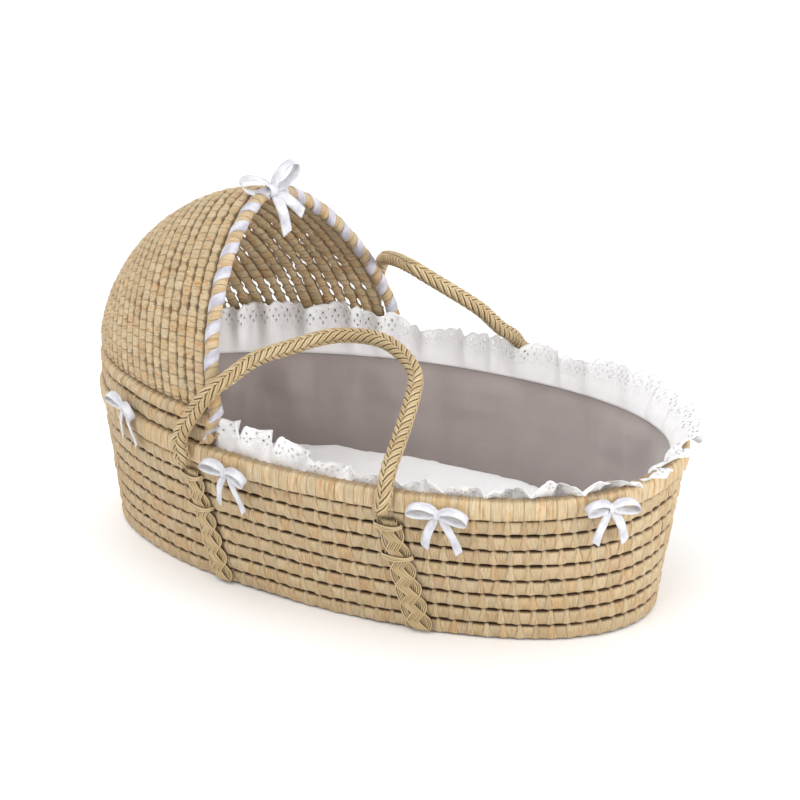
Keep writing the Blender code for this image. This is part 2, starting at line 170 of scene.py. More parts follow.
class Recipe:
    """One material, written as values that feed a Principled shader."""

    def __init__(self, name: str) -> None:
        """Makes the material.

        Args:
            name: the material's name.
        """
        self.material = bpy.data.materials.new(name)
        self.material.use_nodes = True
        self.tree = self.material.node_tree
        self.shader = self.tree.nodes["Principled BSDF"]

    def node(self, kind: str, settings: dict, inputs: dict) -> Any:
        """Adds a node, sets it, then feeds its sockets.

        Args:
            kind: the node's type.
            settings: attributes to set first. "stops" fills a colour ramp.
            inputs: socket name or number to value or Wire.

        Returns:
            The node.
        """
        made = self.tree.nodes.new(kind)
        for key, value in settings.items():
            if key == "stops":
                self._fill_ramp(made.color_ramp, value)
            else:
                setattr(made, key, value)
        for key, value in inputs.items():
            self.feed(made.inputs[key], value)
        return made

    def add(self, kind: str, settings: dict, inputs: dict, output: Union[int, str] = 0) -> Wire:
        """Adds a node and gives one of its outputs."""
        return Wire(self, self.node(kind, settings, inputs).outputs[output])

    def feed(self, socket: Any, value: Any) -> None:
        """Links a Wire to a socket, or sets the socket's own value."""
        if isinstance(value, Wire):
            self.tree.links.new(value.socket, socket)
        else:
            socket.default_value = value

    @staticmethod
    def _fill_ramp(ramp: Any, stops: Sequence[tuple[float, Colour]]) -> None:
        """Gives a colour ramp its stops."""
        while len(ramp.elements) < len(stops):
            ramp.elements.new(1.0)
        for element, (position, colour) in zip(ramp.elements, stops):
            element.position = position
            element.color = (*colour, 1.0)

    def uv(self) -> tuple[Wire, Wire]:
        """The two coordinates of the piece's own UV map."""
        place = self.add("ShaderNodeUVMap", {}, {})
        split = self.node("ShaderNodeSeparateXYZ", {}, {0: place})
        return Wire(self, split.outputs[0]), Wire(self, split.outputs[1])

    def here(self) -> Wire:
        """The place on the object."""
        return self.add("ShaderNodeTexCoord", {}, {}, "Object")

    def point(self, x: Any, y: Any = 0.0, z: Any = 0.0) -> Wire:
        """A vector from three values."""
        return self.add("ShaderNodeCombineXYZ", {}, {0: x, 1: y, 2: z})

    def grain(self, place: Wire, scale: float, detail: float = 2.0) -> Wire:
        """Soft noise from 0 to 1."""
        return self.add(
            "ShaderNodeTexNoise", {}, {"Vector": place, "Scale": scale, "Detail": detail}
        )

    def speck(self, place: Wire) -> Wire:
        """A steady random value for each place."""
        return self.add("ShaderNodeTexWhiteNoise", {"noise_dimensions": "3D"}, {"Vector": place})

    def ramp(self, value: Wire, stops: Sequence[tuple[float, Colour]]) -> Wire:
        """A colour read off a ramp."""
        return self.add("ShaderNodeValToRGB", {"stops": stops}, {0: value})

    def mix(self, low: Any, high: Any, share: Any, blend: str = "MIX") -> Wire:
        """Two colours mixed."""
        colours = [c if isinstance(c, Wire) else (*c, 1.0) for c in (low, high)]
        return self.add(
            "ShaderNodeMix",
            {"data_type": "RGBA", "blend_type": blend},
            {0: share, 6: colours[0], 7: colours[1]},
            2,
        )

    def shade(self, colour: Wire, value: Wire) -> Wire:
        """A colour made lighter or darker by a value."""
        grey = self.point(value, value, value)
        return self.add("ShaderNodeVectorMath", {"operation": "MULTIPLY"}, {0: colour, 1: grey})

    def finish(self, colour: Any, roughness: Any, height: Any, depth: float, **more: Any) -> Any:
        """Feeds the shader.

        Args:
            colour: base colour.
            roughness: roughness.
            height: bump height, from 0 to 1.
            depth: what a height of 1 stands for, in metres.
            more: further sockets of the shader, with spaces as underscores.

        Returns:
            The material.
        """
        self.feed(self.shader.inputs["Base Color"], colour if isinstance(colour, Wire) else (*colour, 1.0))
        self.feed(self.shader.inputs["Roughness"], roughness)
        bump = self.add("ShaderNodeBump", {}, {"Height": height, "Distance": depth, "Strength": 1.0})
        self.feed(self.shader.inputs["Normal"], bump)
        for key, value in more.items():
            self.feed(self.shader.inputs[key.replace("_", " ")], value)
        return self.material


@dataclass(frozen=True)
class Husk:
    """Dried corn husk wrapped over a row. UV x counts stitches and UV y runs 0 to 1 across. Painted shade
    darkens the row's top and bottom edges and, together with the husk's own darker joints, the lines where
    wraps meet.
    """

    name: str
    weave: Weave = Weave.FANS
    strands: float = 9.0
    light: float = 1.0
    edge: float = 0.13
    joint: float = 0.030
    # How dark the lines where wraps meet are: partly the husk's own darker joints, partly painted shade in the
    # crease.
    seam: float = 0.34
    # How strongly the row's top and bottom edges are painted dark: painted shade for the slots between rows.
    hollow_shade: float = 0.8
    stray: float = 0.12
    tones: tuple[tuple[float, Colour], ...] = (
        (0.0, (0.45, 0.325, 0.170)),
        (0.25, (0.53, 0.395, 0.220)),
        (0.50, (0.60, 0.460, 0.270)),
        (0.72, (0.50, 0.395, 0.235)),
        (0.88, (0.57, 0.385, 0.185)),
        (0.95, (0.49, 0.345, 0.225)),
        (1.0, (0.66, 0.515, 0.325)),
    )
    # The dark brown of the painted shade at the row's edges and in the creases where wraps meet.
    deep: Colour = (0.085, 0.042, 0.016)

    def material(self) -> Any:
        """Makes the material."""
        r = Recipe(self.name)
        along, across = r.uv()
        low, high = self.weave.value
        cell = r.point(along.whole(), 4.5, 0.3)
        middle = along.part() - 0.5 + (r.speck(cell) - 0.5) * self.stray
        side = abs(middle)
        width = (low + (high - low) * across) * (0.80 + 0.40 * r.speck(r.point(along.whole(), 8.5, 0.6)))
        inside = side < width
        fan = middle / width * 0.5
        flat = (side - width) / (0.62 - width)
        strand = fan * inside + flat * (1.0 - inside)
        mark = along.whole() * inside + (along + 0.5).whole() * (1.0 - inside) + inside * 0.37
        tone = r.speck(r.point(mark, inside, 0.5))
        streak = r.grain(r.point(strand * self.strands * 0.5, across * 0.9, mark * 1.7), 1.0, 3.0)
        fibre = r.grain(r.point(strand * self.strands * 2.6, across * 2.2, mark * 3.1), 1.0, 2.0)
        blot = r.grain(r.here(), 60.0, 3.0)
        colour = r.ramp(tone * 0.86 + blot * 0.14, self.tones)
        hair = r.grain(r.point(strand * self.strands * 5.5, across * 1.1, mark * 5.3), 1.0, 1.0)
        colour = r.mix(colour, (0.36, 0.175, 0.050), (streak.smooth(0.48, 0.70)) * 0.80)
        colour = r.mix(colour, (0.80, 0.70, 0.53), (fibre.smooth(0.48, 0.76)) * 0.55)
        colour = r.mix(colour, (0.27, 0.135, 0.045), (hair.smooth(0.56, 0.78)) * 0.50)
        # Lines where wraps meet, mixed towards the deep brown: partly the husk's own darker joints, partly
        # painted shade in the crease between overlapping wraps.
        patchy = r.grain(r.point(along * 3.1, across * 2.0, mark), 1.0, 1.0).smooth(0.30, 0.62)
        seam = (1.0 - abs(side - width).smooth(0.0, self.joint)) * patchy
        if self.weave is Weave.BANDS:
            side = abs(along.part() - 0.5)
            seam = (1.0 - (0.5 - side).smooth(0.0, self.joint)) * (patchy * 0.6 + 0.4)
        # Painted shade: towards the row's top and bottom edges the colour fades to the deep brown, standing in
        # for the shade in the slots between rows and coils.
        rim = (0.5 - abs(across - 0.5)).smooth(0.0, self.edge)
        dark = (1.0 - rim) * self.hollow_shade + seam * self.seam * rim
        colour = r.mix(r.shade(colour, (streak * 0.60 + 0.69) * self.light), self.deep, dark)
        height = streak * 0.65 + fibre * 0.55 - hair * 0.35 - seam * 0.8
        return r.finish(colour, fibre * 0.25 + 0.50, height, 0.0011)


@dataclass(frozen=True)
class Cord:
    """Twisted husk cord of the handles and plaits. UV x counts strands and UV y runs along one. Painted shade
    darkens the grooves between plies and the gaps between strands.
    """

    name: str
    cords: float = 2.0
    light: float = 1.0
    # How dark the painted shade in the gaps between strands is.
    gap: float = 0.85
    pale: Colour = (0.62, 0.49, 0.29)
    warm: Colour = (0.43, 0.285, 0.120)
    # The dark brown of the painted shade in the grooves and gaps.
    deep: Colour = (0.070, 0.034, 0.012)

    def material(self) -> Any:
        """Makes the material."""
        r = Recipe(self.name)
        along, across = r.uv()
        tone = r.speck(r.point(along.whole(), 0.3, 0.7))
        ply = (along * self.cords).part()
        # Painted shade: at each ply's edge and at each whole step of UV x, the gap between strands, the colour
        # is mixed towards the deep brown, for the shade in the braid's crevices.
        groove = 1.0 - (0.5 - abs(ply - 0.5)).smooth(0.0, 0.16)
        gap = 1.0 - (0.5 - abs(along.part() - 0.5)).smooth(0.02, 0.20)
        fibre = r.grain(r.point(along * 16.0, across * 1.4, tone * 9.0), 1.0, 3.0)
        blot = r.grain(r.here(), 45.0, 2.0)
        colour = r.mix(self.warm, self.pale, (tone * 0.5 + fibre * 0.7 + blot * 0.3 - 0.15))
        lit = r.shade(colour, (fibre * 0.45 + 0.72) * self.light)
        colour = r.mix(lit, self.deep, groove * 0.45 + gap * self.gap)
        height = fibre * 0.35 - groove * 0.55 - gap * 0.3
        return r.finish(colour, fibre * 0.2 + 0.48, height, 0.0010)


@dataclass(frozen=True)
class Satin:
    """White satin ribbon, with fine threads across it. UV is in metres, x along."""

    name: str = "white_satin"
    colour: Colour = (0.47, 0.465, 0.51)
    # The lighter colour of the painted sheen on the crease ridges.
    crease_sheen: Colour = (0.68, 0.68, 0.71)

    def material(self) -> Any:
        """Makes the material."""
        r = Recipe(self.name)
        along, across = r.uv()
        thread = (along * 9000.0).wave() * 0.5 + 0.5
        crease = r.grain(r.point(along * 55.0, across * 120.0), 1.0, 2.0)
        hem = 1.0 - (0.0052 - abs(across)).smooth(0.0, 0.0007)
        # Painted sheen and shade: the satin is lighter where the crease noise rises and darker where it falls.
        colour = r.mix(self.colour, self.crease_sheen, crease.smooth(0.30, 0.70))
        height = thread * 0.12 + crease * 0.6 + hem * 0.5
        return r.finish(
            colour, thread * 0.08 + 0.24, height, 0.0006, Sheen_Weight=0.3, Specular_IOR_Level=0.6
        )


@dataclass(frozen=True)
class Cloth:
    """A plain woven cloth with soft creases. UV is in metres."""

    name: str
    colour: Colour
    shadow: Colour
    roughness: float = 0.75
    sheen: float = 0.3
    threads: float = 4200.0
    creases: float = 0.5

    def material(self) -> Any:
        """Makes the material."""
        r = Recipe(self.name)
        along, across = r.uv()
        warp = (along * self.threads).wave()
        weft = (across * self.threads).wave()
        slub = r.grain(r.point(along * 60.0, across * 900.0), 1.0, 2.0)
        crease = r.grain(r.here(), 26.0, 3.0)
        cloud = r.grain(r.here(), 7.0, 2.0)
        colour = r.mix(self.shadow, self.colour, crease * 0.45 + cloud * 0.35 + slub * 0.35)
        height = warp * weft * 0.06 + slub * 0.06 + crease * self.creases
        return r.finish(colour, slub * 0.12 + self.roughness, height, 0.0022, Sheen_Weight=self.sheen)


@dataclass(frozen=True)
class Lace:
    """White eyelet cotton. UV x is in metres along the hem and UV y in metres from the edge."""

    name: str = "eyelet_cotton"
    scallop: float = 0.022

    def material(self) -> Any:
        """Makes the material."""
        r = Recipe(self.name)
        along, edge = r.uv()
        step = along / self.scallop
        centre = step.part() - 0.5
        holes: Any = 0.0
        rings: Any = 0.0
        for x, y, size in (
            (0.0, 0.0075, 0.0013), (0.24, 0.0120, 0.0009), (-0.24, 0.0120, 0.0009),
            (0.0, 0.0165, 0.0009), (0.5, 0.0045, 0.0006), (-0.5, 0.0045, 0.0006),
        ):
            across = (centre - x) * self.scallop
            up = edge - y
            away = (across * across + up * up) ** 0.5
            holes = holes + (1.0 - away.smooth(size * 0.8, size * 1.1))
            rings = rings + (1.0 - abs(away - size * 1.55).smooth(0.0, size * 0.75))
        bulge = centre * centre * 4.0
        hem = 1.0 - abs(edge - 0.0012 - bulge * 0.001).smooth(0.0, 0.0011)
        curl = (1.0 - abs((r.grain(r.point(along * 190.0, edge * 190.0), 1.0, 1.0) - 0.5)).smooth(0.0, 0.035))
        curl = curl * edge.smooth(0.003, 0.007) * (1.0 - edge.smooth(0.022, 0.030))
        thread = (along * 5200.0).wave() * (edge * 5200.0).wave()
        soft = r.grain(r.here(), 40.0, 2.0)
        # Painted highlight and shade: the colour is lighter where the relief is raised, on the rings, curls,
        # hem and soft noise, and darker where it is low.
        raised = soft * 0.5 + rings * 0.6 + curl * 0.4 + hem * 0.5
        colour = r.mix((0.86, 0.85, 0.86), (0.97, 0.97, 0.97), raised)
        height = rings * 0.8 + hem * 0.8 + curl * 0.45 + thread * 0.05 + soft * 0.35
        more = {"Alpha": 1.0 - holes, "Sheen_Weight": 0.3}
        return r.finish(colour, soft * 0.1 + 0.75, height, 0.0009, **more)


@dataclass(frozen=True)
class Foam:
    """Cream open-cell foam."""

    name: str = "cream_foam"

    def material(self) -> Any:
        """Makes the material."""
        r = Recipe(self.name)
        cell = r.add("ShaderNodeTexVoronoi", {}, {"Vector": r.here(), "Scale": 700.0})
        cloud = r.grain(r.here(), 12.0, 3.0)
        colour = r.mix((0.74, 0.68, 0.50), (0.86, 0.82, 0.68), cloud)
        return r.finish(colour, cloud * 0.1 + 0.85, cell, 0.0008)


# ---------------------------------------------------------------- making meshes


def deselect() -> None:
    """Leaves nothing selected."""
    for made in bpy.context.selected_objects:
        made.select_set(False)


def pick(piece: Any) -> None:
    """Selects one piece alone and makes it the active one."""
    deselect()
    piece.select_set(True)
    bpy.context.view_layer.objects.active = piece


def read_points(mesh: Any) -> Array:
    """A mesh's points, three numbers each."""
    flat = np.zeros(len(mesh.vertices) * 3)
    mesh.vertices.foreach_get("co", flat)
    return flat.reshape(-1, 3)


def write_points(mesh: Any, points: Array) -> None:
    """Moves a mesh's points."""
    mesh.vertices.foreach_set("co", np.asarray(points, dtype=np.float32).ravel())
    mesh.update()


def write_uv(mesh: Any, uv: Array) -> None:
    """Fills a mesh's UV map, two numbers for each corner."""
    layer = mesh.uv_layers[0] if mesh.uv_layers else mesh.uv_layers.new(name="UVMap")
    layer.uv.foreach_set("vector", np.asarray(uv, dtype=np.float32).ravel())


def corner_points(mesh: Any) -> Array:
    """The number of the point at each corner."""
    corners = np.zeros(len(mesh.loops), dtype=np.int64)
    mesh.loops.foreach_get("vertex_index", corners)
    return corners


def run_length(points: Array) -> Array:
    """The length of a line up to each of its points."""
    return np.concatenate([[0.0], np.cumsum(np.linalg.norm(np.diff(points, axis=0), axis=1))])


def respaced(points: Array, length: Array, count: int) -> Array:
    """A line's values at evenly spaced lengths."""
    even = np.linspace(0.0, length[-1], count)
    return np.stack([np.interp(even, length, axis) for axis in points.T], axis=1)


def round_ends(u: Array, length: float, reach: float) -> Array:
    """How full a tube is, rising from 0 at each tip to 1 a reach away."""
    ends = np.clip(np.minimum(u, 1.0 - u) * length / reach, 0.0, 1.0)
    return np.sqrt(np.clip(1.0 - (1.0 - ends) ** 2, 0.0, 1.0))


def spokes(turn: Array, out: Array, aside: Array) -> Array:
    """Directions round a line, from its outward and sideways ones."""
    return np.cos(turn)[:, None] * out + np.sin(turn)[:, None] * aside


def levels(node: str) -> tuple[float, float]:
    """A CAD node's middle height and half its height."""
    low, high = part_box(node)
    return (low.z + high.z) / 2, (high.z - low.z) / 2


def stripe(value: Array) -> Array:
    """A soft step from 0 to 1 over the unit range."""
    t = np.clip(value, 0.0, 1.0)
    return t * t * (3.0 - 2.0 * t)


def wander(points: Array, size: float, seed: float = 0.0) -> Array:
    """Smooth noise from about -1 to 1 at each point.

    Args:
        points: places, three numbers each.
        size: how large its features are, in metres.
        seed: shifts the pattern.

    Returns:
        One value for each place.
    """
    shift = Vector((seed * 7.31, seed * 3.17, seed * 5.73))
    return np.array([noise.noise(Vector(p) / size + shift) for p in points]) * 1.6


def plain_mark(u: Array, v: Array, face_u: Array, face_v: Array) -> Array:
    """The grid's own coordinates as its UV map."""
    return np.stack([u, v], axis=1)


def lay_grid(name: str, along: int, across: int, place: Place, mark: Mark = plain_mark) -> Any:
    """Adds a grid, lays each of its points in place and closes its seams.

    Args:
        name: the piece's name.
        along: faces in the first direction.
        across: faces in the second direction.
        place: gives points for two arrays of shares from 0 to 1.
        mark: gives UV for each corner's shares and its face's middle shares.

    Returns:
        The piece.
    """
    deselect()
    bpy.ops.mesh.primitive_grid_add(x_subdivisions=along, y_subdivisions=across, size=2.0)
    piece = bpy.context.object
    piece.name = piece.data.name = name
    mesh = piece.data
    u, v = ((read_points(mesh)[:, :2] + 1.0) / 2.0).T
    corners = corner_points(mesh)
    face_u = np.repeat(u[corners].reshape(-1, 4).mean(axis=1), 4)
    face_v = np.repeat(v[corners].reshape(-1, 4).mean(axis=1), 4)
    write_uv(mesh, mark(u[corners], v[corners], face_u, face_v))
    write_points(mesh, place(u, v))
    tidy_mesh(piece)
    return piece


def tidy_mesh(piece: Any) -> None:
    """Merges a piece's doubles and turns its faces outwards."""
    pick(piece)
    bpy.ops.object.mode_set(mode="EDIT")
    bpy.ops.mesh.select_all(action="SELECT")
    bpy.ops.mesh.remove_doubles(threshold=MERGE_DISTANCE)
    bpy.ops.mesh.normals_make_consistent(inside=False)
    bpy.ops.object.mode_set(mode="OBJECT")
    bpy.ops.object.shade_smooth()


def apply_modifier(piece: Any, kind: str, **settings: Any) -> None:
    """Adds a modifier, sets it and applies it."""
    pick(piece)
    modifier = piece.modifiers.new(kind.title(), kind)
    for key, value in settings.items():
        setattr(modifier, key, value)
    bpy.ops.object.modifier_apply(modifier=modifier.name)


def join(name: str, pieces: Sequence[Any]) -> Any:
    """Makes several meshes one piece."""
    deselect()
    for piece in pieces:
        piece.select_set(True)
    bpy.context.view_layer.objects.active = pieces[0]
    if len(pieces) > 1:
        bpy.ops.object.join()
    pieces[0].name = pieces[0].data.name = name
    return pieces[0]


def dress(piece: Any, material: Any, body: str, slot: str, *nodes: str) -> Any:
    """Gives a piece its finish and its body, and hides the CAD nodes that it stands for."""
    piece.data.materials.clear()
    piece.data.materials.append(material)
    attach(piece, body)
    if nodes:
        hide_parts(*nodes)
    LOG.info("%s: %d faces on %s", piece.name, len(piece.data.polygons), body)
    return piece


def boxy_loop(turn: Array, flatness: float) -> tuple[Array, Array]:
    """A rounded box round a centre.

    Args:
        turn: angle round the section.
        flatness: power on sine and cosine, smaller for squarer.

    Returns:
        The outward and the upward part, each from -1 to 1.
    """
    out, up = np.cos(turn), np.sin(turn)
    return np.sign(out) * np.abs(out) ** flatness, np.sign(up) * np.abs(up) ** flatness


def unit(vectors: Array) -> Array:
    """Vectors made one long."""
    return vectors / np.maximum(np.linalg.norm(vectors, axis=-1, keepdims=True), 1e-12)


# ---------------------------------------------------------------- the basket's curves


@dataclass(frozen=True)
class Plan:
    """The basket's egg-shaped outline as it changes with height."""

    @staticmethod
    def sizes(height: Array, rim: bool = False) -> tuple[Array, Array, Array, Array]:
        """Half length, half width and the head's and foot's sharpness at each height."""
        share = np.ones_like(height) if rim else np.clip(height / WALL_TOP, 0.0, 1.0)
        trim = 0.0 if rim else RIM_OVERHANG
        ranges = (
            (FLOOR_HALF[0], RIM_HALF[0] - trim),
            (FLOOR_HALF[1], RIM_HALF[1] - trim),
            HEAD_SHARPNESS,
            FOOT_SHARPNESS,
        )
        length, width, head, foot = (low + (high - low) * share for low, high in ranges)
        return length, width, head, foot

    def at(self, turn: Array, height: Array, out: Array, rim: bool = False) -> Array:
        """Points round the basket.

        Args:
            turn: angle round the outline.
            height: height of each point.
            out: how far outside the outline each point is.
            rim: takes the rim's outline at every height.

        Returns:
            Points, three numbers each.
        """
        length, width, head, foot = self.sizes(height, rim)
        along, across = np.cos(turn), np.sin(turn)
        at_head = along < 0.0
        power = np.where(at_head, head, foot)
        reach = np.where(at_head, length + WIDEST_X, length - WIDEST_X)
        a, b = np.abs(along), np.abs(across)
        x = WIDEST_X + reach * np.sign(along) * a ** (2.0 / power)
        y = width * np.sign(across) * b ** (2.0 / power)
        slope = unit(
            np.stack(
                [
                    np.sign(along) * a ** (2.0 - 2.0 / power) / reach,
                    np.sign(across) * b ** (2.0 - 2.0 / power) / width,
                ],
                axis=-1,
            )
        )
        return np.stack([x + out * slope[..., 0], y + out * slope[..., 1], height], axis=-1)

    def even_turns(self, height: float, rim: bool, first: float, last: float) -> tuple[Array, Array]:
        """A table of evenly growing length and the turn at each, between two turns."""
        turn = np.linspace(first, last, 4001)
        flat = np.full_like(turn, height)
        points = self.at(turn, flat, np.zeros_like(turn), rim)
        return run_length(points), turn

    @staticmethod
    def rim_half_width(x: Union[float, Array]) -> Array:
        """Half the rim's width at a place along the basket."""
        offset = np.asarray(x) - WIDEST_X
        power = np.where(offset < 0.0, HEAD_SHARPNESS[1], FOOT_SHARPNESS[1])
        reach = np.where(offset < 0.0, RIM_HALF[0] + WIDEST_X, RIM_HALF[0] - WIDEST_X)
        share = np.clip(np.abs(offset / reach), 0.0, 1.0)
        return RIM_HALF[1] * (1.0 - share**power) ** (1.0 / power)


PLAN = Plan()


@dataclass
class Row:
    """One wrapped row round the basket, closed or with two ends."""

    name: str
    centre: float
    half_height: float
    half_depth: float
    inset: float
    pitch: float = 0.0195
    stagger: float = 0.0
    rim: bool = False
    first: float = 0.0
    last: float = FULL_TURN
    bulge: float = 0.0022
    slot: float = 0.0027
    flatness: float = 0.45
    weave: Weave = Weave.FANS
    sides: int = 14
    steps: int = 12
    table: tuple[Array, Array] = field(init=False)
    cells: int = field(init=False)

    def __post_init__(self) -> None:
        """Counts the stitches that fit."""
        self.table = PLAN.even_turns(self.centre, self.rim, self.first, self.last)
        self.cells = max(4, round(self.table[0][-1] / self.pitch))

    @property
    def closed(self) -> bool:
        """Whether the row runs all the way round."""
        return self.last - self.first >= FULL_TURN

    def section(self, v: Array) -> tuple[Array, Array]:
        """Outward and upward parts of the section, with more points on the outer face."""
        outer = v <= 0.64
        turn = np.where(outer, math.pi * (v / 0.64 - 0.5), math.pi * (0.5 + (v - 0.64) / 0.36))
        return boxy_loop(turn, self.flatness)

    def place(self, u: Array, v: Array) -> Array:
        """Lays the row's grid: u runs round the basket and v round the section."""
        out, up = self.section(v)
        share = up * 0.5 + 0.5
        cell = u * self.cells + self.stagger
        middle = cell - np.floor(cell) - 0.5
        side = np.abs(middle)
        low, high = self.weave.value
        width = low + (high - low) * share
        neck = 1.0 - stripe((side - 0.11) / 0.04)
        rng = np.random.default_rng(int(self.centre * 1e5) + 7)
        lift = rng.uniform(-1.0, 1.0, self.cells + 2)
        number = np.clip(np.floor(cell - self.stagger), 0, self.cells).astype(int)
        top = self.half_height + 0.0013 * neck - 0.62 * self.slot * (1.0 - neck)
        bottom = self.half_height - 0.38 * self.slot * (1.0 - neck) + 0.0004 * lift[number]
        height = self.centre + np.where(up > 0.0, up * top, up * bottom)
        fan = 1.0 - stripe((side - width) / 0.06 + 0.5)
        swell = self.bulge * (1.0 - (2.0 * share - 1.0) ** 2)
        face = np.where(out > 0.0, out, 0.0)
        depth = out * self.half_depth - self.inset - self.bulge * face
        depth = depth + face * (swell + 0.0009 * fan - 0.0011 * neck * share**6 + 0.0008 * lift[number])
        length, turns = self.table
        turn = np.interp(u * length[-1], length, turns)
        points = PLAN.at(turn, height, depth, self.rim)
        if not self.closed:
            taper = round_ends(u, length[-1], 0.006)[:, None]
            spine = PLAN.at(
                turn, np.full_like(turn, self.centre), np.full_like(turn, -self.inset), self.rim
            )
            points = spine + (points - spine) * taper
        points[:, 2] += 0.0010 * wander(points * (1.0, 1.0, 0.2), 0.09)
        points[:, 2] = np.maximum(points[:, 2], 0.0002)
        return points

    def mark(self, u: Array, v: Array, face_u: Array, face_v: Array) -> Array:
        """Stitch count along and share of the height across."""
        up = self.section(v)[1]
        return np.stack([u * self.cells + self.stagger + round(self.centre * 1e4), up * 0.5 + 0.5], axis=1)

    def build(self) -> Any:
        """Makes the row."""
        return lay_grid(self.name, self.cells * self.steps, self.sides, self.place, self.mark)


@dataclass
class WovenBody:
    """The base coils, the stacked wall rows and the rim row."""

    rows: int = 8
    thickness: float = 0.012
    base_coils: int = 9

    def base_place(self, u: Array, v: Array) -> Array:
        """Lays the base: v runs from the underside's middle out, round the edge and back on top."""
        under = v < 0.5
        share = np.where(under, v * 2.0, (1.0 - v) * 2.0)
        ridge = np.abs(np.sin(share * self.base_coils * math.pi)) ** 0.6
        height = np.where(under, 0.0035 * (1.0 - ridge), 0.0085 + 0.003 * ridge)
        edge = PLAN.at(FULL_TURN * u, np.full_like(u, 0.004), np.full_like(u, -self.thickness - 0.001))
        points = edge * share[:, None]
        points[:, 0] += WIDEST_X * 0.4 * (1.0 - share)
        points[:, 2] = height
        return points

    def base_mark(self, u: Array, v: Array, face_u: Array, face_v: Array) -> Array:
        """Stitches round and coils across."""
        share = np.where(face_v < 0.5, v * 2.0, (1.0 - v) * 2.0)
        coil = np.floor(np.where(face_v < 0.5, face_v * 2.0, (1.0 - face_v) * 2.0) * self.base_coils)
        local = np.clip(share * self.base_coils - coil, 0.0, 1.0)
        return np.stack([u * 60.0 * (0.3 + coil / self.base_coils) + coil * 91.0, local], axis=1)

    def build(self) -> None:
        """Makes and dresses the pieces."""
        fans = Husk("husk_wall").material()
        bands = Husk("husk_bands", Weave.BANDS, 7.0, 1.04, 0.10, 0.045, 0.20, 0.45).material()
        step = WALL_TOP / self.rows
        for index in range(self.rows):
            row = Row(
                f"wall_row_{index + 1}",
                centre=(index + 0.5) * step,
                half_height=step / 2,
                half_depth=self.thickness / 2,
                inset=self.thickness / 2 - 0.0005,
                stagger=0.37 * index % 1.0,
            )
            dress(row.build(), fans, "basket", "husk", "wall_weave")
        rim = Row(
            "rim_wrap",
            *levels("rim_row"),
            half_depth=0.00875,
            inset=0.00875,
            pitch=0.0125,
            rim=True,
            bulge=0.0004,
            slot=0.0003,
            flatness=0.62,
            weave=Weave.BANDS,
            sides=18,
            steps=6,
        )
        dress(rim.build(), bands, "basket", "husk", "rim_row")
        base = lay_grid("base_coils", 120, self.base_coils * 12, self.base_place, self.base_mark)
        under = Husk("husk_base", Weave.BANDS, joint=0.05, edge=0.2).material()
        dress(base, under, "basket", "husk", "base_mat")


# ---------------------------------------------------------------- the hood


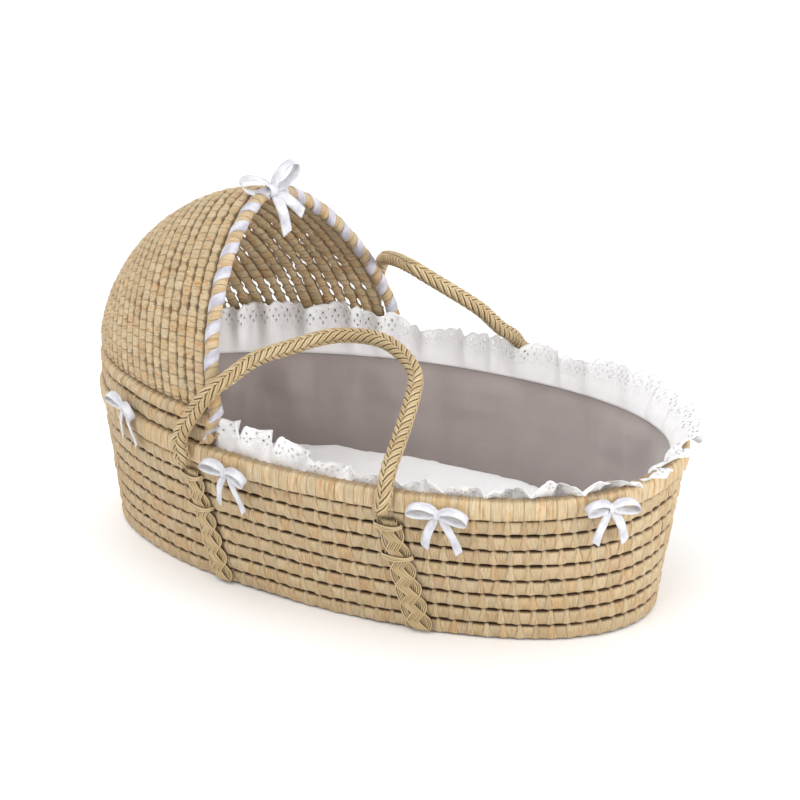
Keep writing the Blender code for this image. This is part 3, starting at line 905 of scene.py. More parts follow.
@dataclass
class Hood:
    """The hood's wrapped rows, the two rows that carry it, its hoop and the hoop's ribbon."""

    rows: int = 22
    cell: float = 0.0128
    half_depth: float = 0.0046
    ribbon_pitch: float = 0.034
    ribbon_width: float = 0.016
    fine: int = 260

    def __post_init__(self) -> None:
        """Works out the hood's middle surface once, even along the crown and along each arch."""
        rake = 1.0 / math.cos(HOOD_LEAN)
        self.front = HOOD_FRONT_X - (HOOP_RADIUS + 0.0027) * rake
        lift = np.linspace(0.0, math.pi / 2, 1201)
        crown_share, crown_fall = np.sin(lift) ** HOOD_POWER, np.cos(lift) ** HOOD_POWER
        crown_x = self.front + (HOOD_BACK_X - self.front) * crown_share
        rise = HOOD_HEIGHT * crown_fall
        crown = np.stack([crown_x - rise * math.tan(HOOD_LEAN), rise], axis=1)
        length = run_length(crown)
        lifts = np.interp(np.linspace(0.0, 0.985 * length[-1], self.fine), length, lift)
        grid = []
        for angle in lifts:
            share, fall = math.sin(angle) ** HOOD_POWER, math.cos(angle) ** HOOD_POWER
            grid.append(self.arch(self.front + (HOOD_BACK_X - self.front) * share, fall, self.fine))
        self.grid = np.array(grid)
        self.crown_length = float(length[-1]) * 0.985
        normals = unit(np.cross(np.gradient(self.grid, axis=0), np.gradient(self.grid, axis=1)))
        flip = np.sign(normals[self.fine // 3, self.fine // 2, 2])
        self.normals = normals * flip

    @staticmethod
    def arch(base_x: float, fall: float, count: int) -> Array:
        """One arch from the near side over to the far side, evenly spaced."""
        turn = np.linspace(math.pi, 0.0, 1201)
        half = float(Plan.rim_half_width(base_x)) - HOOD_INSET
        rise = HOOD_HEIGHT * fall * np.abs(np.sin(turn)) ** HOOD_POWER
        across = np.cos(turn)
        y = half * np.sign(across) * np.abs(across) ** HOOD_POWER
        points = np.stack([base_x - rise * math.tan(HOOD_LEAN), y, HOOD_BASE + rise], axis=1)
        return respaced(points, run_length(points), count)

    def surface(self, back: Array, across: Array) -> tuple[Array, Array]:
        """Points and outward normals of the middle surface.

        Args:
            back: share of the way from the opening to the head end.
            across: share of the way over each arch.

        Returns:
            Points and normals.
        """
        top = self.fine - 1.0001
        i, j = np.clip(back, 0.0, 1.0) * top, np.clip(across, 0.0, 1.0) * top
        i0, j0 = i.astype(int), j.astype(int)
        fi, fj = (i - i0)[:, None], (j - j0)[:, None]

        def blend(grid: Array) -> Array:
            low = grid[i0, j0] * (1.0 - fj) + grid[i0, j0 + 1] * fj
            high = grid[i0 + 1, j0] * (1.0 - fj) + grid[i0 + 1, j0 + 1] * fj
            return low * (1.0 - fi) + high * fi

        return blend(self.grid), unit(blend(self.normals))

    def coil(self, index: int) -> Any:
        """One row of the hood, from the near side over to the far side."""
        back = (index + 0.5) / self.rows
        middle = self.grid[int(back * (self.fine - 1))]
        length = float(np.linalg.norm(np.diff(middle, axis=0), axis=1).sum())
        cells = max(5, round(length / self.cell))
        half = 0.5 / self.rows
        gap = 0.0027 / self.crown_length
        rng = np.random.default_rng(index + 40)
        lift = rng.uniform(-1.0, 1.0, cells + 1)
        wide = rng.choice([0.0, 0.1, 0.6, 1.0], cells + 1)

        def place(u: Array, v: Array) -> Array:
            out, up = boxy_loop(FULL_TURN * v, 0.72)
            cell = u * cells
            side = np.abs(cell - np.floor(cell) - 0.5)
            number = np.minimum(cell.astype(int), cells)
            neck = stripe((side - 0.33) / 0.10)
            reach = half * 1.03 * neck + (half - gap * wide[number]) * (1.0 - neck)
            points, normals = self.surface(back + up * reach, u)
            swell = 0.88 + 0.17 * np.cos((cell - np.floor(cell) - 0.5) * math.pi) ** 0.7 + 0.07 * lift[number]
            taper = round_ends(u, length, 0.005)[:, None]
            spine, _ = self.surface(np.full_like(u, back), u)
            shaped = points + normals * (out * self.half_depth * swell)[:, None]
            return spine + (shaped - spine) * taper

        def mark(u: Array, v: Array, face_u: Array, face_v: Array) -> Array:
            up = boxy_loop(FULL_TURN * v, 0.72)[1]
            return np.stack([u * cells + 0.5 + index * 130.0, up * 0.5 + 0.5], axis=1)

        return lay_grid(f"hood_coil_{index}", cells * 8, 12, place, mark)

    def hoop_line(self) -> tuple[Array, Array, Array]:
        """The hoop's line, with its outward and forward directions."""
        line = self.arch(HOOD_FRONT_X, 1.0, 1601)
        leg = np.linspace(RIM_TOP - HOOD_BASE, 0.0, 150)[:-1, None] * (0.45, 0.0, 1.0)
        line = np.concatenate([line[0] + leg, line, (line[-1] + leg)[::-1]])
        ahead = unit(np.gradient(line, axis=0))
        facing = np.array([math.cos(HOOD_LEAN), 0.0, math.sin(HOOD_LEAN)])
        outward = unit(np.cross(facing, ahead))
        outward *= np.sign(outward[len(line) // 2, 2])
        return line, outward, np.broadcast_to(facing, line.shape)

    def build_hoop(self) -> None:
        """Makes the wrapped hoop and the satin ribbon that winds along it."""
        line, outward, facing = self.hoop_line()
        length = float(np.linalg.norm(np.diff(line, axis=0), axis=1).sum())
        count = len(line) - 1

        def round_at(u: Array, turn: Array, radius: Array) -> Array:
            at = np.clip(u, 0.0, 1.0) * count
            low = np.minimum(at.astype(int), count - 1)
            share = (at - low)[:, None]
            centre = line[low] * (1.0 - share) + line[low + 1] * share
            return centre + spokes(turn, outward[low], facing[low]) * radius[:, None]

        wraps = length / 0.011

        def hoop_place(u: Array, v: Array) -> Array:
            turn = FULL_TURN * v
            wrap = np.abs(np.sin(math.pi * (u * wraps - v)))
            radius = HOOP_RADIUS * (0.92 + 0.10 * wrap**0.6) * round_ends(u, length, 0.004)
            return round_at(u, turn, radius)

        def hoop_mark(u: Array, v: Array, face_u: Array, face_v: Array) -> Array:
            return np.stack([u * wraps - v, 0.30 + 0.4 * np.abs(2.0 * v - 1.0)], axis=1)

        hoop = lay_grid("hood_hoop_wrap", 520, 16, hoop_place, hoop_mark)
        bands = Husk("husk_hoop", Weave.BANDS, 5.0, 0.95, 0.02, 0.10, 0.22).material()
        dress(hoop, bands, "basket", "husk", "hood_hoop")

        turns = (length - self.ribbon_pitch) / self.ribbon_pitch
        inner, outer = HOOP_RADIUS + 0.0002, HOOP_RADIUS + 0.0006

        def ribbon_place(u: Array, v: Array) -> Array:
            turn = FULL_TURN * turns * u
            width = (v - 0.5) * self.ribbon_width
            along = (self.ribbon_pitch / 2 + u * turns * self.ribbon_pitch + width) / length
            swell = outer + 0.0003 * np.sin(math.pi * v) + 0.0002 * np.sin(turn * 3.0 + v * 5.0)
            return round_at(along, turn, swell)

        def ribbon_mark(u: Array, v: Array, face_u: Array, face_v: Array) -> Array:
            return np.stack([u * turns * 0.06, (v - 0.5) * 0.0106], axis=1)

        ribbon = lay_grid("hood_ribbon", int(turns * 20), 6, ribbon_place, ribbon_mark)
        apply_modifier(ribbon, "SOLIDIFY", thickness=outer - inner, offset=-1.0)
        tidy_mesh(ribbon)
        satin = Satin("hoop_satin", (0.36, 0.345, 0.40), (0.58, 0.57, 0.62)).material()
        dress(ribbon, satin, "basket", "satin", "hood_hoop_ribbon")

    def build(self) -> None:
        """Makes and dresses the hood."""
        husk = Husk("husk_hood", Weave.BANDS, 6.0, 0.96, 0.13, 0.075, 0.48, 0.45).material()
        coils = [self.coil(index) for index in range(self.rows)]
        half = self.rows // 2
        front = join("hood_coils_front", coils[:half])
        back = join("hood_coils_back", coils[half:])
        for piece in (front, back):
            dress(piece, husk, "basket", "husk", "hood_weave")
        reach = HOOD_FRONT_X - 0.004
        turn = np.linspace(math.pi / 2, math.pi, 4001)
        level = np.full_like(turn, RIM_TOP)
        x = PLAN.at(turn, level, np.zeros_like(turn), True)[:, 0]
        first = float(np.interp(-reach, -x, turn))
        ends = {"rim": True, "first": first, "last": FULL_TURN - first}
        collar = Row(
            "collar_wrap",
            *levels("hood_collar_row"),
            half_depth=0.008,
            inset=0.012,
            flatness=0.55,
            **ends,
        )
        dress(collar.build(), Husk("husk_collar").material(), "basket", "husk", "hood_collar_row")
        seam = Row(
            "seam_wrap",
            centre=levels("hood_seam_coil")[0],
            half_height=0.009,
            half_depth=0.009,
            inset=0.012,
            pitch=0.013,
            bulge=0.0006,
            slot=0.0006,
            flatness=0.9,
            weave=Weave.BANDS,
            **ends,
        )
        dress(seam.build(), husk, "basket", "husk", "hood_seam_coil")
        self.build_hoop()


# ---------------------------------------------------------------- handles and plaits


NEAR_LINE = (
    (-0.130, 0.0, 0), (-0.134, 0.035, 0), (-0.109, 0.075, 0), (-0.090, 0.099, 3),
    (-0.076, 0.121, 18), (-0.061, 0.167, 42), (-0.012, 0.222, 53), (0.046, 0.229, 54),
    (0.096, 0.205, 54), (0.121, 0.168, 52), (0.143, 0.088, 40), (0.155, 0.030, 10),
    (0.150, 0.0, 0),
)
FAR_LINE = (
    (-0.130, 0.0, 0), (-0.137, 0.060, 0), (-0.131, 0.112, 2), (-0.112, 0.145, 9),
    (-0.090, 0.165, 18), (-0.064, 0.185, 26), (-0.027, 0.208, 34), (0.005, 0.221, 39),
    (0.063, 0.157, 39), (0.083, 0.100, 36), (0.083, 0.052, 16), (0.091, 0.034, 4),
    (0.100, 0.0, 0),
)


def smooth_line(controls: Sequence[Sequence[float]], steps: int) -> Array:
    """Points along a Catmull-Rom curve through the controls."""
    known = np.array(controls, dtype=float)
    ends = np.vstack([2 * known[0] - known[1], known, 2 * known[-1] - known[-2]])
    path = []
    for place in np.linspace(0.0, len(known) - 1.0, steps):
        first = min(int(place), len(known) - 2)
        t = place - first
        a, b, c, d = ends[first:first + 4]
        bend = (2 * a - 5 * b + 4 * c - d) * t * t + (3 * b - a - 3 * c + d) * t**3
        path.append(0.5 * (2 * b + (c - a) * t + bend))
    return np.array(path)


@dataclass
class CarryHandle:
    """A round braided carry handle that turns about its two feet."""

    name: str
    controls: Sequence[Sequence[float]]
    side: int
    radius: float = 0.0095
    pitch: float = 0.0112
    slant: float = 1.55
    columns: int = 4
    stations: int = 900
    standoff: float = 0.0135

    def line(self) -> tuple[Array, Array, float]:
        """The handle's line, the direction that faces out of its plane, and its length."""
        heads = [
            self.side * (float(Plan.rim_half_width(end[0])) + self.standoff)
            for end in (self.controls[0], self.controls[-1])
        ]
        path, outward = [], []
        first, last = self.controls[0][0], self.controls[-1][0]
        for x, height, lean in smooth_line(self.controls, self.stations):
            across = heads[0] + (heads[1] - heads[0]) * (x - first) / (last - first)
            angle = math.radians(lean)
            inward = self.side * height * math.sin(angle)
            path.append((x, across - inward, HINGE_HEIGHT + height * math.cos(angle)))
            outward.append((0.0, self.side * math.cos(angle), math.sin(angle)))
        points = np.array(path)
        length = run_length(points)
        facing = respaced(np.array(outward), length, self.stations)
        return respaced(points, length, self.stations), facing, float(length[-1])

    def braid(self, u: Array, v: Array, face_v: Array, length: float) -> tuple[Array, Array]:
        """Strand count along the braid and share of the way across a column."""
        column = np.clip(np.floor(face_v * self.columns), 0, self.columns - 1)
        local = v * self.columns - column
        slope = np.where(column % 2 == 0, local, 1.0 - local)
        return u * length / self.pitch + slope * self.slant + column * 0.5, slope

    def build(self, material: Any) -> Any:
        """Makes and dresses the handle."""
        points, facing, length = self.line()
        ahead = unit(np.gradient(points, axis=0))
        out = unit(facing - ahead * np.sum(facing * ahead, axis=1, keepdims=True))
        aside = np.cross(ahead, out)
        last = len(points) - 1

        def place(u: Array, v: Array) -> Array:
            at = (u * last).astype(int)
            strand, slope = self.braid(u, v, v, length)
            lobe = np.abs(2.0 * (strand - np.floor(strand)) - 1.0)
            crown = np.sqrt(np.clip(1.0 - lobe**2.4, 0.0, 1.0))
            cleft = np.abs(2.0 * slope - 1.0) ** 5
            reach = self.radius * (0.70 + 0.33 * crown - 0.16 * cleft)
            reach = reach * round_ends(u, length, 0.008)
            return points[at] + spokes(FULL_TURN * v, out[at], aside[at]) * reach[:, None]

        def mark(u: Array, v: Array, face_u: Array, face_v: Array) -> Array:
            strand, slope = self.braid(u, v, face_v, length)
            column = np.floor(face_v * self.columns)
            return np.stack([strand + column * 300.0, slope], axis=1)

        handle = lay_grid(f"{self.name}_braid", int(length / 0.0013), 32, place, mark)
        return dress(handle, material, self.name, "rope", self.name)


@dataclass
class Plait:
    """The flat plait down the wall under a handle's foot, with its two ties."""

    side: int
    end: str
    x: float
    top: float = 0.1682
    drift: float = 0.012
    width: float = 0.037
    neck: float = 0.029
    cord: float = 0.0013
    pitch: float = 0.080
    strands: int = 3
    cords: int = 6
    ties: tuple[float, float] = (0.009, 0.053)
    sag: float = 0.0045

    def wall_point(self, along: Array, height: Array, out: Array) -> Array:
        """Points outside the wall at places along it."""
        length, width, head, foot = PLAN.sizes(height)

        def half_width(x: Array) -> Array:
            offset = x - WIDEST_X
            power = np.where(offset < 0.0, head, foot)
            reach = np.where(offset < 0.0, length + WIDEST_X, length - WIDEST_X)
            return width * (1.0 - np.abs(offset / reach) ** power) ** (1.0 / power)

        slope = (half_width(along + 0.001) - half_width(along - 0.001)) / 0.002
        size = np.hypot(slope, 1.0)
        return np.stack(
            [along - out * slope / size, self.side * (half_width(along) + out / size), height], axis=-1
        )

    def cord_tube(self, name: str, path: Array, radius: float, number: int) -> Any:
        """A husk cord along a path."""
        ahead = unit(np.gradient(path, axis=0))
        lead = np.array([0.0, float(self.side), 0.0])
        out = unit(lead - ahead * (ahead @ lead)[:, None])
        aside = np.cross(ahead, out)
        last = len(path) - 1

        def place(u: Array, v: Array) -> Array:
            at = np.rint(u * last).astype(int)
            ends = np.minimum(at, last - at) / 2.0
            taper = np.where(ends < 1.0, np.sqrt(np.clip(ends, 0.0, 1.0)), 1.0)
            around = spokes(FULL_TURN * v, out[at], aside[at])
            return path[at] + around * (radius * taper)[:, None]

        def mark(u: Array, v: Array, face_u: Array, face_v: Array) -> Array:
            # Painted shade: UV x climbs towards the side of the cord that faces the wall, where the cord
            # finish mixes it to deep brown.
            wall_side_shade = np.minimum(2.2 * (1.0 - np.abs(2.0 * v - 1.0)), 1.0)
            return np.stack([0.5 + 0.49 * wall_side_shade + number * 7.0, u * 6.0], axis=1)

        return lay_grid(name, last, 8, place, mark)

    def build(self, material: Any) -> None:
        """Makes and dresses the plait and its ties."""
        label = f"{'near' if self.side < 0 else 'far'}_{self.end}"
        share = np.linspace(0.0, 1.0, 64)
        height = 0.003 + (self.top - 0.003) * (1.0 - share)
        spread = (self.width + (self.neck - self.width) * (height / self.top) ** 3) / 2
        middle = self.x + self.drift * (1.0 - height / self.top)
        tubes = []
        for strand in range(self.strands):
            phase = FULL_TURN * (share * self.top / self.pitch + strand / self.strands)
            swing = np.sin(phase)
            lift = 0.0021 * np.sin(2.0 * phase + math.pi / 2)
            for cord in range(self.cords):
                offset = (cord - (self.cords - 1) / 2) * self.cord * 2.15
                lean = np.cos(phase)
                beside = offset * (0.88 + 0.12 * np.abs(lean))
                along = middle + swing * (spread - self.cords * self.cord * 1.05) + beside
                out = 0.0049 + lift + 0.0004 * math.cos(cord * 2.1)
                path = self.wall_point(along, height, out)
                tubes.append(self.cord_tube("plait_cord", path, self.cord, strand * self.cords + cord))
        plait = join(f"plait_{label}", tubes)
        dress(plait, material, "basket", "rope", f"strap_{label}")
        for name, drop in zip(("upper", "lower"), self.ties):
            self.build_tie(label, name, self.top - drop, material)

    def build_tie(self, label: str, name: str, height: float, material: Any) -> None:
        """Makes one binding of three husk cords over the plait."""
        spread = self.width + (self.neck - self.width) * (height / self.top) ** 3
        middle = self.x + self.drift * (1.0 - height / self.top)
        over, clear = 0.0098, spread / 2 + 0.0010
        controls = (
            (-clear, 0.0012), (-clear, over * 0.7), (-clear * 0.82, over), (0.0, over + 0.0006),
            (clear * 0.82, over), (clear, over * 0.7), (clear, 0.0012),
        )
        line = smooth_line(controls, 34)
        cords = []
        for index, shift in enumerate((-0.0021, 0.0, 0.0021)):
            sag = self.sag * (1.0 - (line[:, 0] / clear) ** 2)
            level = height + shift - sag + 0.0008 * np.sin(line[:, 0] * 150.0 + index)
            path = self.wall_point(middle + line[:, 0], level, line[:, 1])
            cords.append(self.cord_tube("tie_cord", path, 0.0013, 50 + index))
        tie = join(f"binding_{label}_{name}", cords)
        dress(tie, material, "basket", "rope", f"tie_{label}_{name}")


# ---------------------------------------------------------------- bedding


@dataclass
class Bedding:
    """The liner, the foam mattress and its fitted sheet."""

    liner_inset: float = 0.0138
    liner_thickness: float = 0.0018
    floor: float = 0.0135
    top: float = 0.1885
    voxel: float = 0.0075
    cap: tuple[float, float] = (0.003, 0.0075)

    def liner_place(self, u: Array, v: Array) -> Array:
        """Lays the liner: u runs round the basket and v up the wall."""
        height = self.floor + (self.top - self.floor) * v
        length, turns = self.table
        turn = np.interp(u * length[-1], length, turns)
        flat = PLAN.at(turn, height, np.full_like(turn, -self.liner_inset))
        free = stripe((height - 0.055) / 0.05) * stripe((1.0 - v) * 6.0)
        fold = wander(flat * (1.0, 1.0, 0.22), 0.060, 1.0)
        ripple = wander(flat * (1.0, 1.0, 0.5), 0.024, 4.0)
        loose = 0.0042 + 0.0060 * stripe((height - 0.115) / 0.025)
        soft = loose * np.clip(fold + 0.35, 0.0, 1.4) + 0.0011 * (ripple + 0.8)
        inset = self.liner_inset + 0.0004 + soft * free
        return PLAN.at(turn, height, -inset)

    def liner_mark(self, u: Array, v: Array, face_u: Array, face_v: Array) -> Array:
        """Metres along and up."""
        return np.stack([u * self.table[0][-1], v * (self.top - self.floor)], axis=1)

    def build_liner(self) -> None:
        """Makes the liner's hung cloth."""
        self.table = PLAN.even_turns(0.1, False, 0.0, FULL_TURN)
        liner = lay_grid("liner_cloth", 520, 44, self.liner_place, self.liner_mark)
        apply_modifier(liner, "SOLIDIFY", thickness=self.liner_thickness, offset=0.0)
        tidy_mesh(liner)
        taupe = Cloth(
            "taupe_sateen", (0.400, 0.345, 0.330), (0.315, 0.268, 0.255), 0.52, 0.5, creases=0.9
        )
        dress(liner, taupe.material(), "basket", "liner", "liner")

    def swell(self, pad: Any) -> None:
        """Runs the cloth simulation that fills the mattress, and limits how far it moves."""
        rest = read_points(pad.data)
        cloth = pad.modifiers.new("Fill", "CLOTH")
        cloth.settings.use_pressure = True
        cloth.settings.uniform_pressure_force = 4.0
        cloth.settings.effector_weights.gravity = 0.0
        cloth.settings.quality = 4
        cloth.collision_settings.use_collision = False
        cloth.point_cache.frame_start, cloth.point_cache.frame_end = 1, 20
        for moment in range(1, 21):
            bpy.context.scene.frame_set(moment)
        pick(pad)
        bpy.ops.object.modifier_apply(modifier=cloth.name)
        bpy.context.scene.frame_set(1)
        low, high = self.cap
        step = read_points(pad.data) - rest
        step[:, :2] = np.clip(step[:, :2], -low, low)
        step[:, 2] = np.clip(step[:, 2], -low, high) * (rest[:, 2] > 0.03)
        write_points(pad.data, rest + step)

    def build_mattress(self) -> None:
        """Makes the foam pad by simulation, then its sheet over it."""
        low, high = (corner.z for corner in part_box("mattress_pad"))
        inset = 0.0228

        def block(u: Array, v: Array) -> Array:
            stations = (0.0, 0.30, 0.36, 0.40, 0.60, 0.64, 0.70, 1.0)
            corner = np.interp(v, stations, (0.0, 0.94, 0.985, 1.0, 1.0, 0.985, 0.94, 0.0))
            level = np.interp(v, stations, (0.0, 0.0, 0.06, 0.2, 0.8, 0.94, 1.0, 1.0))
            height = low + 0.0005 + (high - low - 0.001) * level
            edge = PLAN.at(FULL_TURN * u, height, np.full_like(u, -inset))
            edge[:, :2] *= corner[:, None]
            return edge

        pad = lay_grid("foam_mattress", 120, 40, block)
        pick(pad)
        pad.data.remesh_voxel_size = self.voxel
        bpy.ops.object.voxel_remesh()
        self.swell(pad)
        bpy.ops.object.shade_smooth()
        sheet = self.build_sheet(pad, low)
        dress(pad, Foam().material(), "mattress", "foam", "mattress_pad")
        cotton = Cloth("white_cotton", (0.98, 0.98, 0.99), (0.93, 0.93, 0.95), 0.8, 0.2, 3600.0, 0.8)
        dress(sheet, cotton.material(), "mattress", "sheet", "fitted_sheet")

    def build_sheet(self, pad: Any, low: float) -> Any:
        """Copies the pad's top and sides, moves them off it and gives them soft creases."""
        sheet = pad.copy()
        sheet.data = pad.data.copy()
        sheet.name = sheet.data.name = "fitted_sheet_cotton"
        bpy.context.scene.collection.objects.link(sheet)
        pick(sheet)
        bpy.ops.object.mode_set(mode="EDIT")
        bpy.ops.mesh.select_all(action="DESELECT")
        bpy.ops.object.mode_set(mode="OBJECT")
        for face in sheet.data.polygons:
            face.select = face.center.z < low + 0.004 and face.normal.z < -0.7
        bpy.ops.object.mode_set(mode="EDIT")
        bpy.ops.mesh.delete(type="FACE")
        bpy.ops.object.mode_set(mode="OBJECT")
        mesh = sheet.data
        co = np.array([v.co for v in mesh.vertices])
        normal = np.array([v.normal for v in mesh.vertices])
        crease = np.abs(wander(co * (1.0, 1.0, 0.4), 0.085, 9.0))
        lift = 0.0014 + 0.0016 * stripe(1.0 - crease * 3.0) * (co[:, 2] > 0.055)
        co = co + normal * lift[:, None]
        at_corner = co[corner_points(mesh)]
        write_uv(mesh, at_corner[:, :2] + at_corner[:, 2:3])
        write_points(mesh, co)
        apply_modifier(sheet, "SOLIDIFY", thickness=0.0008, offset=1.0)
        bpy.ops.object.shade_smooth()
        return sheet

    def build(self) -> None:
        """Makes and dresses the bedding."""
        self.build_liner()
        self.build_mattress()


@dataclass
class Ruffle:
    """The gathered eyelet ruffle that stands round the inside of the rim."""

    low: float = 0.1855
    inset: float = 0.0228
    folds: int = 38
    scallop: float = 0.022
    gather: float = 1.3
    thickness: float = 0.0006

    def stretch(self, turn: Array) -> tuple[Array, Array, Array]:
        """How tall the ruffle stands, how far it leans out and how deep its folds are at a turn."""
        far = stripe(0.5 + 1.6 * np.sin(turn))
        head = stripe(-np.cos(turn) * 1.3 - 0.1)
        foot = stripe(np.cos(turn) * 1.5 - 0.45)
        x = WIDEST_X + RIM_HALF[0] * np.cos(turn)
        near = 0.029 + 0.033 * np.exp(-(((x + 0.05) / 0.10) ** 2))
        near = near + 0.026 * np.exp(-(((x - 0.36) / 0.07) ** 2))
        under_hood = stripe((-x - 0.07) / 0.03)
        lobe = np.abs(np.sin(math.pi * x / 0.058 + 0.6 + 4.0 * x)) ** 0.7
        near = near * (0.62 + 0.42 * lobe)
        tall = near * (1.0 - far) + far * (0.050 + 0.020 * under_hood + 0.004 * foot)
        lean = -0.002 + 0.008 * far * (1.0 - under_hood) + 0.028 * foot - 0.006 * head
        deep = 0.0140 - 0.0088 * far + 0.004 * foot
        return tall, lean, deep

    def place(self, u: Array, v: Array) -> Array:
        """Lays the ruffle: u runs round the basket and v from the seam to the free edge."""
        length, turns = self.table
        turn = np.interp(u * length[-1], length, turns)
        tall, lean, deep = self.stretch(turn)
        ring = PLAN.at(turn, np.full_like(turn, self.low), np.zeros_like(turn), True)
        drift = wander(ring, 0.075, 2.0)
        phase = FULL_TURN * self.folds * u + 2.2 * drift
        wave = np.sin(phase) + 0.35 * np.sin(2.0 * phase + 1.3)
        flop = wander(ring, 0.05, 6.0)
        count = round(float(length[-1]) * self.gather / self.scallop)
        bump = np.abs(np.sin(math.pi * count * u)) ** 0.7
        loose = np.clip((deep - 0.0055) / 0.0085, 0.0, 1.0)
        rise = tall * (1.0 + 0.12 * flop - 0.30 * loose * (0.5 - 0.5 * np.sin(phase + 0.25))) * v
        rise = rise + 0.0030 * bump * v**5
        open_up = v**0.8
        out = -self.inset + lean * v**1.6 + deep * wave * open_up * 0.9 + 0.003 * flop * v
        curl = 0.006 * np.sin(math.pi * v) * np.cos(phase * 0.5)
        droop = 0.012 * stripe(np.cos(turn) * 2.0 - 0.9) * v**3
        height = self.low + rise - 0.0035 * np.abs(wave) * v**2 - droop
        return PLAN.at(turn + curl * 0.6, height, out, True)

    def mark(self, u: Array, v: Array, face_u: Array, face_v: Array) -> Array:
        """Metres along the gathered cloth, and metres down from its free edge."""
        length = self.table[0][-1]
        return np.stack([u * length * self.gather, (1.0 - v) * 0.046], axis=1)

    def build(self) -> None:
        """Makes and dresses the ruffle."""
        self.table = PLAN.even_turns(self.low, True, 0.0, FULL_TURN)
        ruffle = lay_grid("eyelet_ruffle", 1500, 16, self.place, self.mark)
        apply_modifier(ruffle, "SOLIDIFY", thickness=self.thickness, offset=0.0)
        tidy_mesh(ruffle)
        dress(ruffle, Lace().material(), "basket", "lace", "ruffle")


# ---------------------------------------------------------------- bows


@dataclass
class Bow:
    """A tied satin bow: two loops, two tails and a knot."""

    name: str
    node: str
    centre: Vector
    normal: Vector
    scale: float = 1.0
    width: float = 0.0105
    droop: float = 0.10
    tilts: tuple[float, float] = (0.25, 0.02)
    tails: tuple[tuple[float, float], tuple[float, float]] = ((-0.016, -0.044), (0.024, -0.048))

    def axes(self) -> tuple[Array, Array, Array]:
        """Rightward, upward and outward directions."""
        out = self.normal.normalized()
        right = Vector((0.0, 0.0, 1.0)).cross(out).normalized()
        return np.array(right), np.array(out.cross(right)), np.array(out)

    def strip(self, line: Array, across: Array, width: Array, thickness: float = 0.0007) -> Any:
        """A ribbon along a line, in the bow's own directions.

        Args:
            line: right, up and out at each station.
            across: direction of the ribbon's width at each station.
            width: width at each station.
            thickness: how thick the satin is.

        Returns:
            The strip.
        """
        axes = np.array(self.axes())
        last = len(line) - 1
        steps = run_length(line)
        across = unit(across)

        def place(u: Array, v: Array) -> Array:
            at = np.rint(u * last).astype(int)
            cup = 0.0012 * (1.0 - (2.0 * v - 1.0) ** 2)
            local = line[at] + across[at] * ((v - 0.5) * width[at])[:, None]
            local[:, 2] += cup
            return np.array(self.centre) + local @ axes

        def mark(u: Array, v: Array, face_u: Array, face_v: Array) -> Array:
            at = np.rint(u * last).astype(int)
            return np.stack([steps[at], (v - 0.5) * 0.0106], axis=1)

        piece = lay_grid("bow_strip", last, 6, place, mark)
        apply_modifier(piece, "SOLIDIFY", thickness=thickness, offset=0.0)
        tidy_mesh(piece)
        return piece

    def loop(self, side: int) -> Any:
        """One loop, pinched at the knot and open at its far end."""
        t = np.linspace(0.0, 1.0, 41)
        swing = FULL_TURN * t
        reach = 0.0175 * (1.0 - np.cos(swing)) * self.scale
        belly = 0.0080 * np.sin(swing) * np.sin(math.pi * t) ** 0.5 * self.scale
        fall = self.droop * reach
        tilt = math.atan(self.tilts[0] if side < 0 else self.tilts[1])
        turned_right, turned_up = math.cos(tilt), math.sin(tilt)
        raised = belly - fall * (reach / 0.035) * 1.6
        right = side * (reach * turned_right - raised * turned_up)
        up = reach * turned_up + raised * turned_right + 0.001
        out = 0.0072 + belly * 0.35 + 0.0020 * (1.0 - np.cos(swing))
        line = np.stack([right, up, out], axis=1)
        pinch = 0.42 + 0.58 * stripe(np.minimum(t, 1.0 - t) * 5.0)
        twist = stripe(np.minimum(t, 1.0 - t) * 3.5)
        aside, above = 0.10 * twist, 1.0 - 0.45 * twist
        across = np.stack(
            [
                side * (aside * turned_right - above * turned_up),
                aside * turned_up + above * turned_right,
                -0.35 - 0.45 * twist,
            ],
            axis=1,
        )
        return self.strip(line, across, self.width * self.scale * pinch)

    def tail(self, end: tuple[float, float]) -> Any:
        """One tail, cut at a slant."""
        t = np.linspace(0.0, 1.0, 25)
        aim = np.array(end) * self.scale
        bend = 0.003 * np.sin(math.pi * t) * np.sign(aim[0])
        line = np.stack([aim[0] * t + bend, aim[1] * t, 0.0040 + 0.0022 * np.sin(math.pi * t * 1.5)], axis=1)
        ahead = unit(np.array([aim[0], aim[1]]))
        slant = np.where(t > 0.999, 0.45, 0.0)
        upward = ahead[0] + slant * np.sign(aim[0])
        across = np.stack([np.full_like(t, -ahead[1]), upward, 0.15 * np.ones_like(t)], axis=1)
        width = self.width * self.scale * (0.45 + 0.55 * stripe(t * 4.0))
        return self.strip(line, across, width)

    def knot(self) -> Any:
        """The wrapped middle."""
        t = np.linspace(0.0, 1.0, 17)
        turn = math.pi * (t * 1.5 - 0.25)
        size = 0.0048 * self.scale
        up, out = size * 1.15 * np.cos(turn), 0.0058 + size * 0.9 * np.sin(turn)
        line = np.stack([np.zeros_like(t), up, out], axis=1)
        across = np.stack([np.ones_like(t), np.zeros_like(t), np.zeros_like(t)], axis=1)
        return self.strip(line, across, np.full_like(t, 0.0082 * self.scale), 0.0011)

    def build(self, material: Any) -> None:
        """Makes and dresses the bow."""
        pieces = [self.loop(-1), self.loop(1), self.tail(self.tails[0]), self.tail(self.tails[1]), self.knot()]
        bow = join(self.name, pieces)
        dress(bow, material, "basket", "satin", self.node)


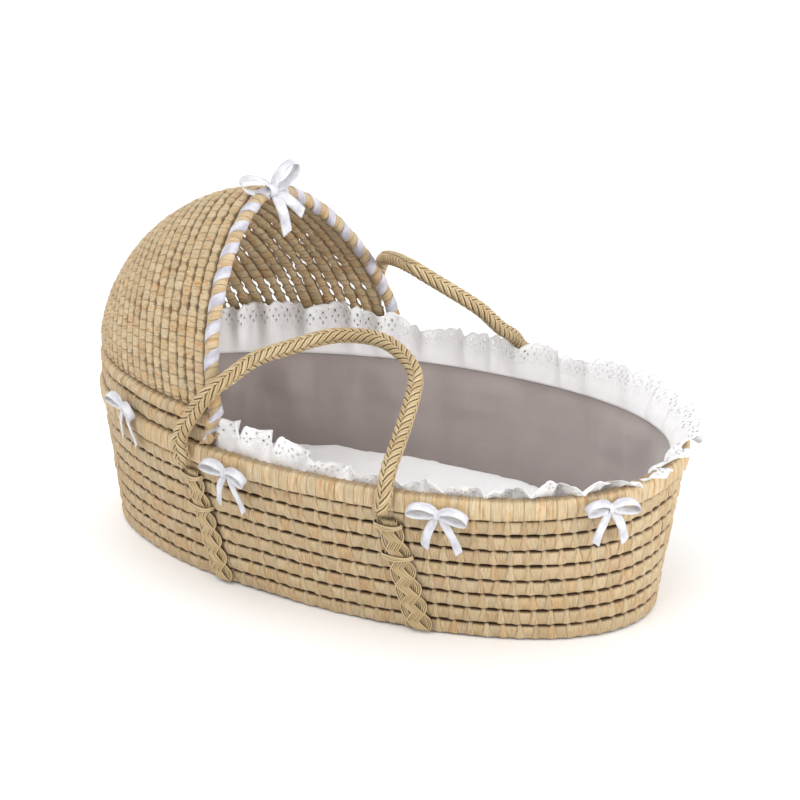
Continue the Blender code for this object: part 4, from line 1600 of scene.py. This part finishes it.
@dataclass
class Trim:
    """All the bows: four along each side and the large one on the hood."""

    places: tuple[tuple[float, float], ...] = (
        (-0.258, 0.008), (-0.064, -0.019), (0.213, -0.018), (0.374, -0.015),
    )
    tuck: float = 0.016

    def build(self) -> None:
        """Makes every bow."""
        satin = Satin("bow_satin").material()
        for side, label in ((-1, "near"), (1, "far")):
            for index, (x, rise) in enumerate(self.places, start=1):
                x -= self.tuck if side > 0 and index == 4 else 0.0
                slope = float(Plan.rim_half_width(x + 0.001) - Plan.rim_half_width(x - 0.001)) / 0.002
                normal = Vector((-slope, side, 0.0)).normalized()
                point = Vector((x, side * float(Plan.rim_half_width(x)), RIM_TOP + rise))
                node = f"side_bow_{label}_{index}"
                Bow(f"{node}_satin", node, point, normal).build(satin)
        normal = Vector((0.80, -0.52, 0.30)).normalized()
        top = Vector((HOOD_FRONT_X - HOOD_HEIGHT * math.tan(HOOD_LEAN), 0.002, HOOD_BASE + HOOD_HEIGHT))
        crown = Bow(
            "hood_bow_satin", "hood_bow", top + normal * (HOOP_RADIUS - 0.001), normal, 1.28, 0.0105,
            droop=0.0, tilts=(0.28, 0.85), tails=((0.010, -0.044), (0.030, -0.026)),
        )
        crown.build(satin)


# ---------------------------------------------------------------- the studio


@dataclass
class Studio:
    """The pale floor, the soft lights and the camera."""

    eye: tuple[float, float, float] = (1.200, -2.057, 1.090)
    ahead: tuple[float, float, float] = (-0.4619, 0.8162, -0.3471)
    lens: float = 90.4
    floor_half: float = 12.0

    def build_floor(self) -> None:
        """Makes the floor and its paper-white finish."""
        deselect()
        bpy.ops.mesh.primitive_plane_add(size=2.0 * self.floor_half, location=(0.0, 0.0, -0.0005))
        floor = bpy.context.object
        floor.name = "studio_floor"
        r = Recipe("studio_paper")
        grain = r.grain(r.here(), 30.0, 2.0)
        colour = r.mix((0.96, 0.96, 0.96), (0.97, 0.97, 0.97), grain)
        floor.data.materials.append(r.finish(colour, 0.9, grain, 0.0001, Specular_IOR_Level=0.1))

    @staticmethod
    def hang(data: Any, place: Sequence[float], target: Sequence[float]) -> None:
        """Hangs a lamp at a place and turns it to its target."""
        lamp = bpy.data.objects.new(data.name, data)
        bpy.context.scene.collection.objects.link(lamp)
        lamp.location = place
        aim = Vector(target) - Vector(place)
        lamp.rotation_euler = aim.to_track_quat("-Z", "Y").to_euler()

    def build_lights(self) -> None:
        """Makes the white surround and the soft boxes."""
        world = bpy.data.worlds.new("studio_air")
        bpy.context.scene.world = world
        world.use_nodes = True
        air = world.node_tree.nodes["Background"]
        air.inputs["Color"].default_value = (1.0, 1.0, 1.0, 1.0)
        air.inputs["Strength"].default_value = 1.06
        for name, place, size, power in (
            ("key_box", (0.1, -1.8, 2.3), 1.3, 19.0),
            ("top_box", (-0.9, 0.3, 2.6), 1.8, 8.0),
            ("fill_box", (2.3, -0.2, 0.8), 1.1, 14.0),
        ):
            data = bpy.data.lights.new(name, "AREA")
            data.shape, data.size, data.energy = "SQUARE", size, power
            self.hang(data, place, (0.0, 0.0, 0.15))
        data = bpy.data.lights.new("hood_spot", "SPOT")
        data.energy, data.spot_size, data.spot_blend, data.shadow_soft_size = 75.0, 0.40, 0.9, 0.35
        self.hang(data, (2.2, 0.10, 0.66), (-0.25, 0.06, 0.32))

    def build_camera(self) -> None:
        """Makes the camera."""
        data = bpy.data.cameras.new("studio_camera")
        data.lens, data.sensor_width = self.lens, 36.0
        camera = bpy.data.objects.new("studio_camera", data)
        bpy.context.scene.collection.objects.link(camera)
        camera.location = self.eye
        camera.rotation_euler = Vector(self.ahead).to_track_quat("-Z", "Y").to_euler()
        bpy.context.scene.camera = camera

    def build(self) -> None:
        """Makes the studio."""
        bpy.context.scene.view_settings.view_transform = "Standard"
        self.build_floor()
        self.build_lights()
        self.build_camera()


def main() -> None:
    """Builds the looks of the whole basket."""
    logging.basicConfig(level=logging.INFO)
    Studio().build()
    WovenBody().build()
    Hood().build()
    rope = Cord("braid_cord").material()
    CarryHandle("handle_near", NEAR_LINE, -1).build(rope)
    CarryHandle("handle_far", FAR_LINE, 1).build(rope)
    plait = Cord("plait_cord", cords=1.0).material()
    for side, end, x in ((-1, "head", -0.130), (-1, "foot", 0.150), (1, "head", -0.130), (1, "foot", 0.100)):
        Plait(side, end, x).build(plait)
    Bedding().build()
    Ruffle().build()
    Trim().build()


if __name__ == "__main__":
    main()
